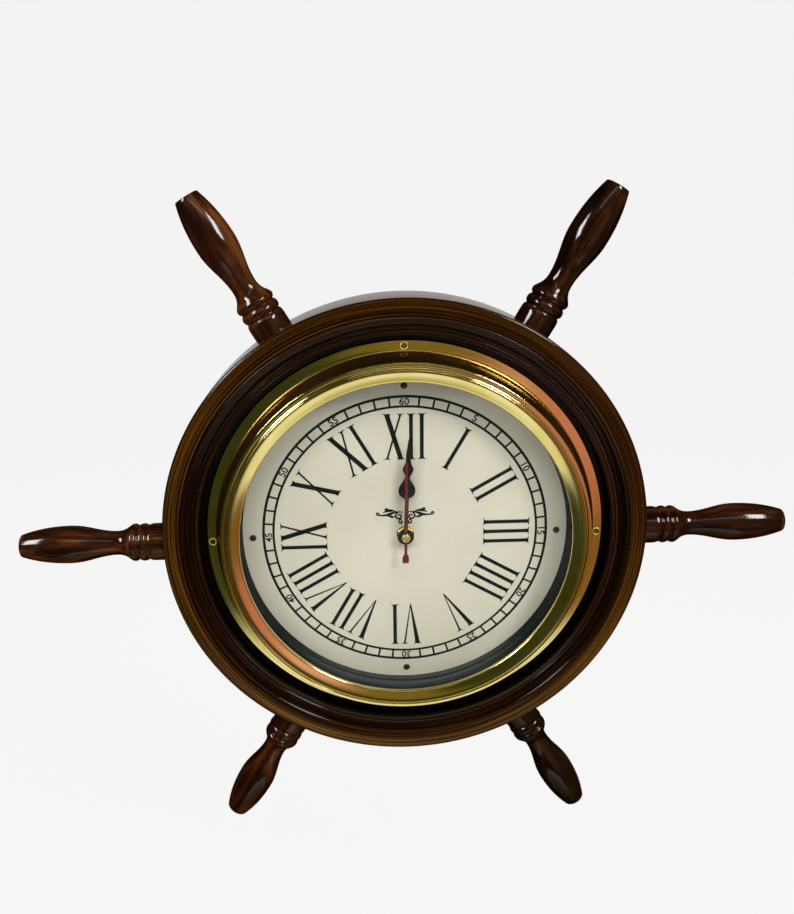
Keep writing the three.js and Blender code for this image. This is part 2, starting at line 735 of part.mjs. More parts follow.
const makeRubberWasher = () =>
  tube(rubberWasher.outerR, spindle.threadR + SEAT, rubberDepth, rubberDepth + rubberWasher.thickness);

// The movement's case

const caseOutline = () => roundedRectangle(-caseHalf, caseBottom, caseHalf, caseTop, shell.cornerR);

const caseInside = () => {
  const inner = caseHalf - shell.wall;
  return roundedRectangle(-inner, bayBottom, inner, shell.above, shell.cornerR - shell.wall);
};

// Three posts hold the train plate between the two shells
const postsAt = () => {
  const side = caseHalf - shell.wall - train.bossWall * 3;
  return [
    new THREE.Vector2(-side, partitionTop + train.bossWall * 3),
    new THREE.Vector2(-side, shell.above - train.bossWall * 3),
    new THREE.Vector2(-side / 8, shell.above - train.bossWall * 3),
  ];
};
const postR = train.bossWall * 1.6;

function makeCaseFront() {
  const box = plate(caseOutline(), caseDepth, caseSplitDepth - SEAT / 2);
  const hollow = plate(caseInside(), caseFloorDepth, caseSplitDepth + THROUGH);
  const thread = rod(spindle.threadR, threadDepth, caseDepth + shell.wall / 2);
  const spindleBore = rod(spindle.hourTubeR + RUNNING, threadDepth - THROUGH, caseFloorDepth + THROUGH);
  const posts = postsAt().map((at) => placed(rod(postR, caseDepth + shell.wall / 2, plateDepth - SEAT, 8), at));
  const studEnd = minuteLayer + layerPitch - train.gap / 2;
  const stud = placed(rod(train.arborR, caseDepth + shell.wall / 2, studEnd, PIN_SIDES), minuteAt);
  const thirdBoss = pivotBoss(thirdAt, train.pivotR, centreLayer - train.gap, caseDepth + shell.wall / 2);
  const knobBoss = pivotBoss(knobAt, train.pivotR, minuteLayer - train.gap, caseDepth + shell.wall / 2);
  return joined(without(joined(without(box, hollow), thread), spindleBore), ...posts, stud, thirdBoss, knobBoss);
}

function makeCaseBack() {
  const from = caseSplitDepth + SEAT / 2;
  const walls = without(
    plate(caseOutline(), from, caseBackDepth),
    plate(caseInside(), from - THROUGH, caseBackDepth + THROUGH),
  );
  const inner = caseHalf - shell.wall / 2;
  const rearWall = plate(rectangle(-inner, bayTop, inner, caseTop - shell.wall / 2), caseBackDepth - shell.wall, caseBackDepth);
  const partition = plate(rectangle(-inner, bayTop, inner, partitionTop), caseFloorDepth + SEAT, caseBackDepth);
  const notch = without(
    plate(rectangle(-inner - THROUGH, bayTop - THROUGH, inner + THROUGH, partitionTop + THROUGH), 0, from),
    plate(rectangle(-inner + shell.wall / 2 + SEAT, bayTop - 2 * THROUGH, inner - shell.wall / 2 - SEAT, partitionTop + 2 * THROUGH), -THROUGH, from + THROUGH),
  );
  const root = caseBackDepth - shell.wall / 2;
  const bosses = [thirdAt, spindleAt, fifthAt, rotorAt].map((at) => pivotBoss(at, train.pivotR, bossDepth, root));
  const posts = postsAt().map((at) => placed(rod(postR, plateDepth + train.plate + SEAT, root, 8), at));
  const wellWall = placed(rod(wellR + shell.thinWall, wellDepth - shell.thinWall, caseBackDepth, SMALL_SIDES), knobAt);
  const well = placed(rod(wellR, wellDepth, caseBackDepth + THROUGH, SMALL_SIDES), knobAt);
  const knobHole = placed(rod(knob.arborR + RUNNING * 2, 0, caseBackDepth, PIN_SIDES), knobAt);
  const shellBody = joined(walls, rearWall, partition, ...bosses, ...posts, wellWall);
  return without(shellBody, notch, well, knobHole);
}

// The train plate stops short of the coil, and two pillars on it carry the stator
function makeTrainPlate() {
  const side = caseHalf - shell.wall - SEAT;
  const shape = roundedRectangle(-side, partitionTop + SEAT, coilX - motor.flangeR - SEAT, shell.above - SEAT, 2);
  const pillarX = coilX - motor.flangeR - motor.coreWidth / 2 - motor.armGap;
  const pillars = [-1, 1].map((side) =>
    placed(rod(motor.pillarR, plateDepth, statorDepth - THIN_SEAT, PIN_SIDES), {
      x: pillarX,
      y: coilZ() + side * motor.pillarReach,
    }),
  );
  const body = joined(plate(shape, plateDepth, plateDepth + train.plate), ...pillars);
  const hole = (at, r) => placed(rod(r, plateDepth - THROUGH, plateDepth + train.plate + THROUGH, PIN_SIDES), at);
  return without(
    body,
    hole(spindleAt, spindle.minuteTubeR + RUNNING * 3),
    hole(thirdAt, train.arborR + RUNNING * 2),
    hole(fifthAt, train.pivotR + RUNNING),
    hole(rotorAt, train.pivotR + RUNNING),
    hole(knobAt, knob.arborR + RUNNING),
  );
}

// The train: each wheel is made round its own arbor, which stands at the mesh's position

const toothAngles = (() => {
  const cannon = 0;
  const minute = meshed(cannon, teeth.cannonPinion, teeth.minuteWheel, bearing.minute);
  const knobTooth = meshed(minute, teeth.minuteWheel, teeth.knobPinion, bearing.knob);
  const minutePinion = 0;
  const hour = meshed(minutePinion, teeth.minutePinion, teeth.hourWheel, bearing.minute + 180);
  const secondsPinion = 0;
  const third = meshed(secondsPinion, teeth.secondsPinion, teeth.thirdWheel, bearing.third);
  const thirdPinion = 0;
  const centre = meshed(thirdPinion, teeth.thirdPinion, teeth.centreWheel, bearing.third + 180);
  const fifthPinion = 0;
  const seconds = meshed(fifthPinion, teeth.fifthPinion, teeth.secondsWheel, bearing.fifth + 180);
  const rotorPinion = 0;
  const fifth = meshed(rotorPinion, teeth.rotorPinion, teeth.fifthWheel, bearing.rotor + 180);
  return {
    cannon, minute, knobTooth, minutePinion, hour, secondsPinion, third,
    thirdPinion, centre, fifthPinion, seconds, rotorPinion, fifth,
  };
})();

function makeHourWheel() {
  const wheel = gear(teeth.hourWheel, hourModule, toothAngles.hour, hourLayer);
  const pipe = rod(spindle.hourTubeR, hourHandDepth, hourLayer + train.wheel);
  const bore = rod(spindle.hourBoreR, hourHandDepth - THROUGH, hourLayer + train.wheel + THROUGH);
  return without(joined(wheel, pipe), bore);
}

function makeMinuteWheel() {
  const pinion = gear(teeth.minutePinion, hourModule, toothAngles.minutePinion, hourLayer);
  const wheel = gear(teeth.minuteWheel, mesh.motionModule, toothAngles.minute, minuteLayer);
  const hubBody = rod(train.arborR + RUNNING + 0.55, hourLayer, minuteLayer + train.wheel, PIN_SIDES);
  const bore = rod(train.arborR + RUNNING, hourLayer - THROUGH, minuteLayer + train.wheel + THROUGH, PIN_SIDES);
  return without(joined(pinion, wheel, hubBody), bore);
}

const cannonTail = () => centreLayer + train.wheel + train.gap / 2;

function makeCannonPinion() {
  const pinion = gear(teeth.cannonPinion, mesh.motionModule, toothAngles.cannon, minuteLayer);
  const pipe = rod(spindle.minuteTubeR, minuteHandDepth - hub.bossHeight, cannonTail());
  const bore = rod(spindle.arborR + RUNNING, minuteHandDepth - hub.bossHeight - THROUGH, cannonTail() + THROUGH, PIN_SIDES);
  return without(joined(pinion, pipe), bore);
}

// The centre wheel grips the cannon pinion's tail by friction, so that the hands can be set
function makeCentreWheel() {
  const wheel = gear(teeth.centreWheel, centreModule, toothAngles.centre, centreLayer);
  return wheel.subtract(rod(spindle.minuteTubeR + RUNNING / 1.5, centreLayer - THROUGH, centreLayer + train.wheel + THROUGH));
}

function makeThirdWheel() {
  const wheel = gear(teeth.thirdWheel, thirdModule, toothAngles.third, thirdLayer);
  const pinion = gear(teeth.thirdPinion, centreModule, toothAngles.thirdPinion, centreLayer);
  const arbor = rod(train.arborR, centreLayer - RUNNING, bossDepth - RUNNING, PIVOT_SIDES);
  const pivots = rod(train.pivotR, centreLayer - train.gap - train.pivotDepth, bossDepth + train.pivotDepth, PIVOT_SIDES);
  return joined(wheel, pinion, arbor, pivots);
}

function makeSecondsWheel() {
  const wheel = gear(teeth.secondsWheel, secondsModule, toothAngles.seconds, secondsLayer);
  const pinion = gear(teeth.secondsPinion, thirdModule, toothAngles.secondsPinion, thirdLayer);
  const arbor = rod(spindle.arborR, secondHandDepth, bossDepth - RUNNING, PIVOT_SIDES);
  const pivot = rod(train.pivotR, bossDepth - train.gap, bossDepth + train.pivotDepth, PIVOT_SIDES);
  return joined(wheel, pinion, arbor, pivot);
}

function makeFifthWheel() {
  const wheel = gear(teeth.fifthWheel, rotorModule, toothAngles.fifth, fifthLayer);
  const pinion = gear(teeth.fifthPinion, secondsModule, toothAngles.fifthPinion, secondsLayer);
  const arbor = rod(train.arborR, thirdLayer, bossDepth - RUNNING, PIVOT_SIDES);
  const pivots = rod(train.pivotR, plateDepth + RUNNING, bossDepth + train.pivotDepth, PIVOT_SIDES);
  return joined(wheel, pinion, arbor, pivots);
}

function makeRotor() {
  const magnet = rod(rotorMagnet.r, thirdLayer, thirdLayer + rotorMagnet.height);
  const pinion = gear(teeth.rotorPinion, rotorModule, toothAngles.rotorPinion, fifthLayer);
  const arbor = rod(train.arborR, thirdLayer, bossDepth - RUNNING, PIVOT_SIDES);
  const pivots = rod(train.pivotR, plateDepth + RUNNING, bossDepth + train.pivotDepth, PIVOT_SIDES);
  return joined(magnet, pinion, arbor, pivots);
}

function makeSettingKnob() {
  const pinion = gear(teeth.knobPinion, mesh.motionModule, toothAngles.knobTooth, minuteLayer);
  const arbor = rod(knob.arborR, minuteLayer, wellDepth + SEAT, PIN_SIDES);
  const pivot = rod(train.pivotR, minuteLayer - train.gap - train.pivotDepth, minuteLayer + train.gap, PIVOT_SIDES);
  const disc = rod(knob.discR, wellDepth + SEAT, knobBackDepth, 2 * PIN_SIDES);
  const flute = rod(knob.discR / 6, wellDepth, knobBackDepth + THROUGH, 6);
  const flutes = around(knob.flutes, knob.discR).map(({ x, z }) => flute.translate([x, 0, z]));
  return joined(pinion, arbor, pivot, without(disc, ...flutes));
}

// The stepping motor: a stator plate round the magnet, joined by the core that carries the coil

const coilZ = () => (partitionTop + shell.above) / 2 - motor.coilR;
const statorDepth = thirdLayer + (rotorMagnet.height - motor.plate) / 2;
const coreDepth = statorDepth + motor.plate + THIN_SEAT;
const coreHalf = motor.coilLength / 2 + motor.flange + motor.coreWidth + SEAT;

function makeStator() {
  const edge = statorHoleR + motor.land / 2;
  const right = coilX + motor.coreWidth / 2;
  const bottom = coilZ() - coreHalf;
  const top = coilZ() + coreHalf;
  const armRight = coilX - motor.flangeR - motor.armGap;
  const armLeft = armRight - motor.coreWidth;
  const corners = [
    [rotorAt.x - edge, Math.max(rotorAt.y - edge, partitionTop + SEAT)],
    [armRight, Math.max(rotorAt.y - edge, partitionTop + SEAT)],
    [armRight, bottom],
    [right, bottom],
    [right, bottom + motor.coreWidth],
    [armRight, bottom + motor.coreWidth],
    [armRight, top - motor.coreWidth],
    [right, top - motor.coreWidth],
    [right, top],
    [armLeft, top],
    [armLeft, rotorAt.y + edge],
    [rotorAt.x - edge, rotorAt.y + edge],
  ];
  const shape = new THREE.Shape(corners.map(([x, z]) => new THREE.Vector2(x, z)));
  const body = plate(shape, statorDepth, statorDepth + motor.plate);
  return body.subtract(placed(rod(statorHoleR, statorDepth - THROUGH, statorDepth + motor.plate + THROUGH), rotorAt));
}

function makeCoilCore() {
  const half = motor.coreWidth / 2;
  const shape = rectangle(coilX - half, coilZ() - coreHalf, coilX + half, coilZ() + coreHalf);
  return plate(shape, coreDepth, coreDepth + motor.plate);
}

// The winding fills its bobbin between two end flanges; a slot lets the core through
function makeCoil() {
  const half = motor.coilLength / 2;
  const outline = [
    [0, -half - motor.flange],
    [motor.flangeR, -half - motor.flange],
    [motor.flangeR, -half],
    [motor.coilR, -half],
    [motor.coilR, half],
    [motor.flangeR, half],
    [motor.flangeR, half + motor.flange],
    [0, half + motor.flange],
  ];
  const body = turned(outline, SMALL_SIDES)
    .rotate([90, 0, 0])
    .translate([coilX, level(coreDepth + motor.plate / 2), coilZ()]);
  const slotHalf = motor.coreWidth / 2 + THIN_SEAT;
  const slot = plate(
    rectangle(coilX - slotHalf, coilZ() - coreHalf - THROUGH, coilX + slotHalf, coilZ() + coreHalf + THROUGH),
    coreDepth - THIN_SEAT,
    coreDepth + motor.plate + THIN_SEAT,
  );
  return body.subtract(slot);
}

// The circuit board lies on the train plate's back, between the posts
const boardLeft = () => postsAt()[0].x + postR + SEAT;
const boardTop = () => shell.above - SEAT;
const boardDepth = plateDepth + train.plate + THIN_SEAT;

function makeBoard() {
  const shape = rectangle(boardLeft(), boardTop() - board.height, boardLeft() + board.width, boardTop());
  return plate(shape, boardDepth, boardDepth + board.thickness);
}

function makeCrystal() {
  const can = solid(new THREE.CylinderGeometry(board.crystalR, board.crystalR, board.crystalLength, PIN_SIDES));
  return can
    .rotate([0, 0, 90])
    .translate([
      boardLeft() + board.width / 2,
      level(boardDepth + board.thickness + THIN_SEAT + board.crystalR),
      boardTop() - board.height / 2,
    ]);
}

// The cell lies across the bottom of the case, its nub to the right
function makeBattery() {
  const bodyEnd = battery.length / 2 - battery.nubLength / 2;
  const outline = [
    [0, -battery.length / 2 - battery.nubLength / 2],
    [battery.r - 0.6, -battery.length / 2 - battery.nubLength / 2],
    [battery.r, 0.6 - battery.length / 2 - battery.nubLength / 2],
    [battery.r, bodyEnd - 0.6],
    [battery.r - 0.6, bodyEnd],
    [battery.nubR, bodyEnd],
    [battery.nubR, bodyEnd + battery.nubLength],
    [0, bodyEnd + battery.nubLength],
  ];
  return turned(outline, SMALL_SIDES)
    .rotate([0, 0, -90])
    .translate([0, level(batteryDepth), batteryZ]);
}

// A contact strip stands on the end wall of the bay; the sprung one is bowed towards the cell
function makeContact(side, bow) {
  const wallX = caseHalf - shell.wall - THIN_SEAT;
  const points = [
    [wallX, -contact.tab / 2],
    [wallX, contact.tab / 2],
    [wallX - contact.strip, contact.tab / 2],
    [wallX - contact.strip - bow, 0],
    [wallX - contact.strip, -contact.tab / 2],
  ];
  const inner = [
    [wallX, 1 - contact.tab / 2],
    [wallX - bow, 0],
    [wallX, contact.tab / 2 - 1],
  ];
  const outline = bow > 0 ? [points[0], inner[0], inner[1], inner[2], ...points.slice(1)] : points;
  const shape = new THREE.Shape(outline.map(([x, z]) => new THREE.Vector2(side * x, batteryZ + z)));
  return plate(shape, batteryDepth - contact.width / 2, batteryDepth + contact.width / 2);
}

// The hanger plate: a keyhole, widest below, and two countersunk screws
function makeHangerPlate() {
  const half = hanger.width / 2;
  const shape = roundedRectangle(-half, hangerZ - hanger.height / 2, half, hangerZ + hanger.height / 2, 2);
  const front = rimThickness - hanger.thickness;
  const body = plate(shape, front, rimThickness);
  const entry = rod(hanger.entryR, front - THROUGH, rimThickness + THROUGH).translate([0, 0, hangerZ - hanger.slotLength / 2]);
  const slotEnd = rod(hanger.slotR, front - THROUGH, rimThickness + THROUGH).translate([0, 0, hangerZ + hanger.slotLength / 2]);
  const slot = plate(
    rectangle(-hanger.slotR, hangerZ - hanger.slotLength / 2, hanger.slotR, hangerZ + hanger.slotLength / 2),
    front - THROUGH,
    rimThickness + THROUGH,
  );
  const hole = countersunkHole(hangerScrew).rotate([180, 0, 0]);
  const holes = [-1, 1].map((side) => hole.translate([side * hanger.screwReach, 0, hangerZ]));
  return without(body, entry, slot, slotEnd, ...holes);
}

// Assembly

const clock = new THREE.Group();

function add(parent, name, piece, look) {
  const { numProp, vertProperties, triVerts } = piece.getMesh();
  const positions = new Float32Array((vertProperties.length / numProp) * 3);
  for (let i = 0; i < positions.length / 3; i++) {
    positions.set(vertProperties.subarray(i * numProp, i * numProp + 3), i * 3);
  }
  const geometry = new THREE.BufferGeometry();
  geometry.setAttribute("position", new THREE.BufferAttribute(positions, 3));
  geometry.setIndex(new THREE.BufferAttribute(triVerts, 1));
  const part = new THREE.Mesh(geometry.toNonIndexed(), new THREE.MeshStandardMaterial(look));
  part.geometry.computeVertexNormals();
  part.name = name;
  parent.add(part);
  return part;
}

function addAt(parent, name, piece, look, at) {
  add(parent, name, piece, look).position.set(at.x, 0, at.y);
}

const wheel = new THREE.Group();
add(wheel, "wheel_rim", makeRim(), finish.walnut);
const handleNames = ["right", "upper_right", "upper_left", "left", "lower_left", "lower_right"];
const handleSolid = makeHandle();
around(handle.count, rimR + SEAT).forEach(({ angle, x, z }, i) => {
  const name = handleNames[i] ?? "extra_" + i;
  const grip = add(wheel, "handle_" + name, handleSolid, finish.walnut);
  grip.position.set(x, level(handle.axisDepth), z);
  grip.quaternion.setFromUnitVectors(
    new THREE.Vector3(0, 1, 0),
    new THREE.Vector3(Math.cos(angle), 0, Math.sin(angle)),
  );
});
add(wheel, "hanger_plate", makeHangerPlate(), finish.steel);
for (const [name, side] of [["left", -1], ["right", 1]]) {
  const screw = add(wheel, "hanger_screw_" + name, countersunkScrew(hangerScrew), finish.steel);
  screw.position.set(side * hanger.screwReach, -THIN_SEAT, hangerZ);
  screw.rotation.x = Math.PI;
}

const porthole = new THREE.Group();
add(porthole, "flange_ring", makeFlange(), finish.brass);
add(porthole, "bezel_ring", makeBezel(), finish.brass);
add(porthole, "glass", makeGlass(), finish.glass);
add(porthole, "spacer_tube", makeSpacer(), finish.slate);
const quarterNames = ["right", "top", "left", "bottom"];
around(4, flangeScrewR).forEach(({ x, z }, i) => {
  const screw = add(porthole, "flange_screw_" + quarterNames[i], countersunkScrew(flangeScrew), finish.brass);
  screw.position.set(x, level(flange.frontDepth), z);
});

const face = new THREE.Group();
add(face, "dial_plate", makeDial(), finish.cream);
around(4, dial.screwR).forEach(({ x, z }, i) => {
  const screw = add(face, "dial_screw_" + quarterNames[i], domedScrew(dialScrew), finish.darkSteel);
  screw.position.set(x, level(dial.depth) - THIN_SEAT, z);
});
add(face, "mounting_nut", makeNut(), finish.brass);
add(face, "mounting_washer", makeWasher(), finish.brass);

// The hands lean a little clockwise of XII, each on its own
const leaning = (degrees) => THREE.MathUtils.degToRad(degrees);
add(face, "hour_hand", makeHourHand(), finish.black).rotation.y = leaning(hourHand.lean);
add(face, "minute_hand", makeMinuteHand(), finish.black).rotation.y = leaning(minuteHand.lean);
add(face, "second_hand", makeSecondHand(), finish.red).rotation.y = leaning(secondHand.lean);
add(face, "second_hand_bush", makeSecondBush(), finish.brass);

const movement = new THREE.Group();
add(movement, "rubber_washer", makeRubberWasher(), finish.rubber);
add(movement, "case_front", makeCaseFront(), finish.casing);
add(movement, "case_back", makeCaseBack(), finish.casing);
add(movement, "train_plate", makeTrainPlate(), finish.casing);
add(movement, "battery", makeBattery(), finish.cell);
add(movement, "contact_plus", makeContact(1, 0), finish.steel);
add(movement, "contact_minus", makeContact(-1, 0.7), finish.steel);
add(movement, "circuit_board", makeBoard(), finish.board);
add(movement, "quartz_crystal", makeCrystal(), finish.steel);
add(movement, "stator", makeStator(), finish.steel);
add(movement, "coil_core", makeCoilCore(), finish.steel);
add(movement, "coil", makeCoil(), finish.copper);
addAt(movement, "rotor", makeRotor(), finish.magnet, rotorAt);
addAt(movement, "fifth_wheel", makeFifthWheel(), finish.nylon, fifthAt);
addAt(movement, "seconds_wheel", makeSecondsWheel(), finish.nylon, spindleAt);
addAt(movement, "third_wheel", makeThirdWheel(), finish.nylon, thirdAt);
addAt(movement, "centre_wheel", makeCentreWheel(), finish.nylon, spindleAt);
addAt(movement, "cannon_pinion", makeCannonPinion(), finish.brass, spindleAt);
addAt(movement, "minute_wheel", makeMinuteWheel(), finish.nylon, minuteAt);
addAt(movement, "hour_wheel", makeHourWheel(), finish.nylon, spindleAt);
addAt(movement, "setting_knob", makeSettingKnob(), finish.nylon, knobAt);

clock.add(wheel, porthole, face, movement);
export default clock;
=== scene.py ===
from math import asin, cos, degrees, pi, radians, sin, sqrt
import bmesh
import bpy
from mathutils import Matrix, Vector


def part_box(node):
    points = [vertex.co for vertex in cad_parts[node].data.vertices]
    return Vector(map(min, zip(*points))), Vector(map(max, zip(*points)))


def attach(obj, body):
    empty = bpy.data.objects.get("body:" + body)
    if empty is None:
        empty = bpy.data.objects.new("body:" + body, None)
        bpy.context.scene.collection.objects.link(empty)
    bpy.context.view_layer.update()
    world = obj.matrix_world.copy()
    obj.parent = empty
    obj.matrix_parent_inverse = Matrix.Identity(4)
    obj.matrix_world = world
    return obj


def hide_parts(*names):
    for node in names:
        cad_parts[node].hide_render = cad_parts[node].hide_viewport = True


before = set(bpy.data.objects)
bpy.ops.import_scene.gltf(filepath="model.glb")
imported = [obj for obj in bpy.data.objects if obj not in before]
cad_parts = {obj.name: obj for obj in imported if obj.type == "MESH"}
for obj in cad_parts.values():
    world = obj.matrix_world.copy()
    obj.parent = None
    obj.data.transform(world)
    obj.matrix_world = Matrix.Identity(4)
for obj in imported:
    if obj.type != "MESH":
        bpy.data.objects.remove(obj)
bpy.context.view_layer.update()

MM = 0.001
FRONT_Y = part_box("wheel_rim")[0].y
RIM_THICKNESS = -FRONT_Y / MM
SCENE = bpy.context.scene

# The wheel's radii, from the porthole outwards
LIP_R = 97.0
FACE_FROM_R = 97.75
CREST_R = 103.7
ROLL_R = (105.7, 108.1)
SKIRT_R = (103.6, 104.9)
NECK_R = (105.2, 106.5)
NECK_FOOT_R = (108.8, 111.5)
LAND_R = 111.0
FLANGE_R = 118.1
FLANGE_SCREW_R = (LAND_R + FLANGE_R) / 2
RECESS_R = 121.5
INNER_BEAD_R = 124.6
COVE_R = 127.0
OUTER_BEAD_R = 129.6
FACE_R = 132.5
RIM_R = 142.3
CAVITY_R = 80.0
LEDGE_R = 104.8
DIAL_R = 104.5

# Depths
PROUD = 4.5
FLANGE_DEPTH = 9.8
SEAT_DEPTH = 11.3
DIAL_DEPTH = 13.3
DIAL_BACK = 14.9
LEDGE_DEPTH = 15.2
HANDLE_DEPTH = 14.5

# Smaller pieces
DIAL_SCREW_R = 91.2
SPACER_R = (97.2, 99.6)
SPINDLE_HOLE_R = 4.2
NUT_BORE_R = 3.98
NUT_FLATS = 9.0
HANGER = (36.0, 22.0)
HANGER_Z = (CAVITY_R + RIM_R) / 2
HANGER_THICKNESS = 1.5
HANGER_SCREW_X = 13.0
KEYHOLE_R = (2.4, 4.8)

# The dial's print
TRACK_R = (78.95, 84.88)
TRACK_LINE = (1.4, 1.6)
TICK_WIDTH = 1.2
NUMERAL_R = (46.9, 74.8)
MINUTE_TEXT = 4.25
PRINT_LIFT = 0.03


# Geometry helpers

def shares(steps):
    """Even steps from 0 to 1."""
    return [k / steps for k in range(steps + 1)]


def at(x, depth, z):
    """A point of the frame, from its place across, behind the rim's face and up."""
    return Vector((x * MM, FRONT_Y + depth * MM, z * MM))


def circle(radius, sides=40):
    """Points in (x, z) round the axis."""
    turns = [2 * pi * i / sides for i in range(sides)]
    return [(radius * cos(turn), radius * sin(turn)) for turn in turns]


def at_depth(points, depth):
    return [Vector((x, depth, z)) for x, z in points]


def band(a, b, count):
    """Faces between two closed rows of vertices, the first from a on and the second from b on."""
    pairs = [(i, (i + 1) % count) for i in range(count)]
    return [(a + i, a + j, b + j, b + i) for i, j in pairs]


def rectangle(half_w, half_h, z=0.0):
    """The corners of an upright rectangle round (0, z)."""
    return [(-half_w, z - half_h), (half_w, z - half_h), (half_w, z + half_h), (-half_w, z + half_h)]


def arc(centre, half_width, rise, start, end, steps=10):
    """Points of an elliptical arc in (radius, depth); positive rise comes forward."""
    angles = [radians(start + (end - start) * t) for t in shares(steps)]
    return [(centre[0] + half_width * cos(a), centre[1] - rise * sin(a)) for a in angles]


def bead(inner, outer, depth, rise, steps=10):
    return arc(((inner + outer) / 2, depth), (outer - inner) / 2, rise, 180, 0, steps)


def rounded(outline, radius, steps=4, closed=True):
    """The outline with its sharp corners eased, so that they catch the light."""
    count = len(outline)
    out = []
    for i, point in enumerate(outline):
        if not closed and i in (0, count - 1):
            out.append(point)
            continue
        p = Vector(point)
        a = Vector(outline[i - 1]) - p
        b = Vector(outline[(i + 1) % count]) - p
        if min(a.length, b.length) < 1e-6 or a.angle(b) > radians(155):
            out.append(point)
            continue
        a = p + a.normalized() * min(radius, a.length * 0.45)
        b = p + b.normalized() * min(radius, b.length * 0.45)
        out += [tuple(a * (1 - t) ** 2 + p * (2 * t * (1 - t)) + b * t * t) for t in shares(steps)]
    return out


def revolved(outline, sides, closed=True):
    """Vertices and faces of (radius, depth) points turned about the y axis, in mm."""
    verts, rows, faces = [], [], []
    for r, depth in outline:
        row = [Vector((0, depth, 0))] if r < 1e-6 else at_depth(circle(r, sides), depth)
        rows.append((len(verts), len(row)))
        verts += row
    pairs = list(zip(rows, rows[1:]))
    if closed:
        pairs.append((rows[-1], rows[0]))
    for (a, wide), (b, next_wide) in pairs:
        if wide > 1 and next_wide > 1:
            faces += band(a, b, sides)
        elif wide > 1:
            faces += [(a + i, a + (i + 1) % sides, b) for i in range(sides)]
        elif next_wide > 1:
            faces += [(a, b + (i + 1) % sides, b + i) for i in range(sides)]
    return verts, faces


def added(name, data):
    """An object round this data, in the scene."""
    obj = bpy.data.objects.new(name, data)
    SCENE.collection.objects.link(obj)
    return obj


def shaded(mesh, sharp):
    mesh.shade_smooth()
    mesh.set_sharp_from_angle(angle=radians(sharp))


def solid(name, verts, faces, place=None):
    """An object from millimetre vertices; place, if there is one, maps them into the frame."""
    mesh = bpy.data.meshes.new(name)
    mesh.from_pydata([at(*v) if place is None else v * MM for v in verts], [], faces)
    bm = bmesh.new()
    bm.from_mesh(mesh)
    bmesh.ops.remove_doubles(bm, verts=bm.verts, dist=1e-7)
    bmesh.ops.recalc_face_normals(bm, faces=bm.faces)
    bm.to_mesh(mesh)
    bm.free()
    obj = added(name, mesh)
    if place is not None:
        obj.matrix_world = place
    return obj


def enlist(obj, look, body="clock", node=None):
    """Gives a piece its finish and its body, and hides the CAD node that it stands for."""
    material, slot = look
    obj.data.materials.append(material)
    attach(obj, body)
    if node:
        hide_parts(node)


def make(name, verts, faces, look, body="clock", node=None, place=None, sharp=35):
    """A finished piece from its mesh, smooth but for edges sharper than this many degrees."""
    obj = solid(name, verts, faces, place)
    shaded(obj.data, sharp)
    enlist(obj, look, body, node)
    return obj


def cut_away(piece, plates, place=None, sharp=35):
    """Cuts plates, each an outline between two depths, out of a piece."""
    cutters = [solid("cutter", *slab(outline, front, back), place) for outline, front, back in plates]
    for cutter in cutters:
        modifier = piece.modifiers.new("cut", "BOOLEAN")
        modifier.operation = "DIFFERENCE"
        modifier.solver = "EXACT"
        modifier.object = cutter
    bpy.context.view_layer.update()
    graph = bpy.context.evaluated_depsgraph_get()
    cut = bpy.data.meshes.new_from_object(piece.evaluated_get(graph))
    piece.modifiers.clear()
    piece.data = cut
    shaded(cut, sharp)
    for cutter in cutters:
        bpy.data.objects.remove(cutter)


def turned(name, outline, look, sides=192, closed=True, **options):
    return make(name, *revolved(outline, sides, closed), look, **options)


def slab(outline, front, back, bevel=0.0):
    """A closed outline in (x, z) as a plate between two depths, with an eased front edge."""
    count = len(outline)
    rings = [(outline, front + bevel), (outline, back)]
    if bevel:
        rings.insert(0, (inset(outline, bevel), front))
    verts, faces = [], []
    for ring, depth in rings:
        verts += at_depth(ring, depth)
    last = (len(rings) - 1) * count
    for a in range(0, last, count):
        faces += band(a, a + count, count)
    faces += [tuple(range(count)), tuple(range(last + count - 1, last - 1, -1))]
    return verts, faces


def inset(outline, distance):
    """The outline moved inwards by a distance, corner by corner."""
    area = sum(a[0] * b[1] - b[0] * a[1] for a, b in zip(outline, outline[1:] + outline[:1]))
    side = 1 if area > 0 else -1
    result = []
    for i, point in enumerate(outline):
        p = Vector(point)
        a = (p - Vector(outline[i - 1])).normalized()
        b = (Vector(outline[(i + 1) % len(outline)]) - p).normalized()
        normal = Vector((-(a + b).y, (a + b).x)) * side
        if normal.length < 1e-6:
            normal = Vector((-a.y, a.x)) * side
        normal.normalize()
        spread = max(0.5, normal.dot(Vector((-a.y, a.x)) * side))
        result.append(tuple(p + normal * distance / spread))
    return result


def spun(points, clockwise):
    """Points in (x, z) turned by degrees, as seen from the front."""
    angle = radians(clockwise)
    c, s = cos(angle), sin(angle)
    return [(x * c + z * s, z * c - x * s) for x, z in points]


def curve(start, *segments, steps=8):
    """A path from cubic segments, each of two handles and an end."""
    points = [Vector(start)]
    for h1, h2, end in segments:
        p0, p1, p2, p3 = points[-1], Vector(h1), Vector(h2), Vector(end)
        for t in shares(steps)[1:]:
            u = 1 - t
            points.append(p0 * u ** 3 + p1 * 3 * u * u * t + p2 * 3 * u * t * t + p3 * t ** 3)
    return [tuple(p) for p in points]


# Material helpers

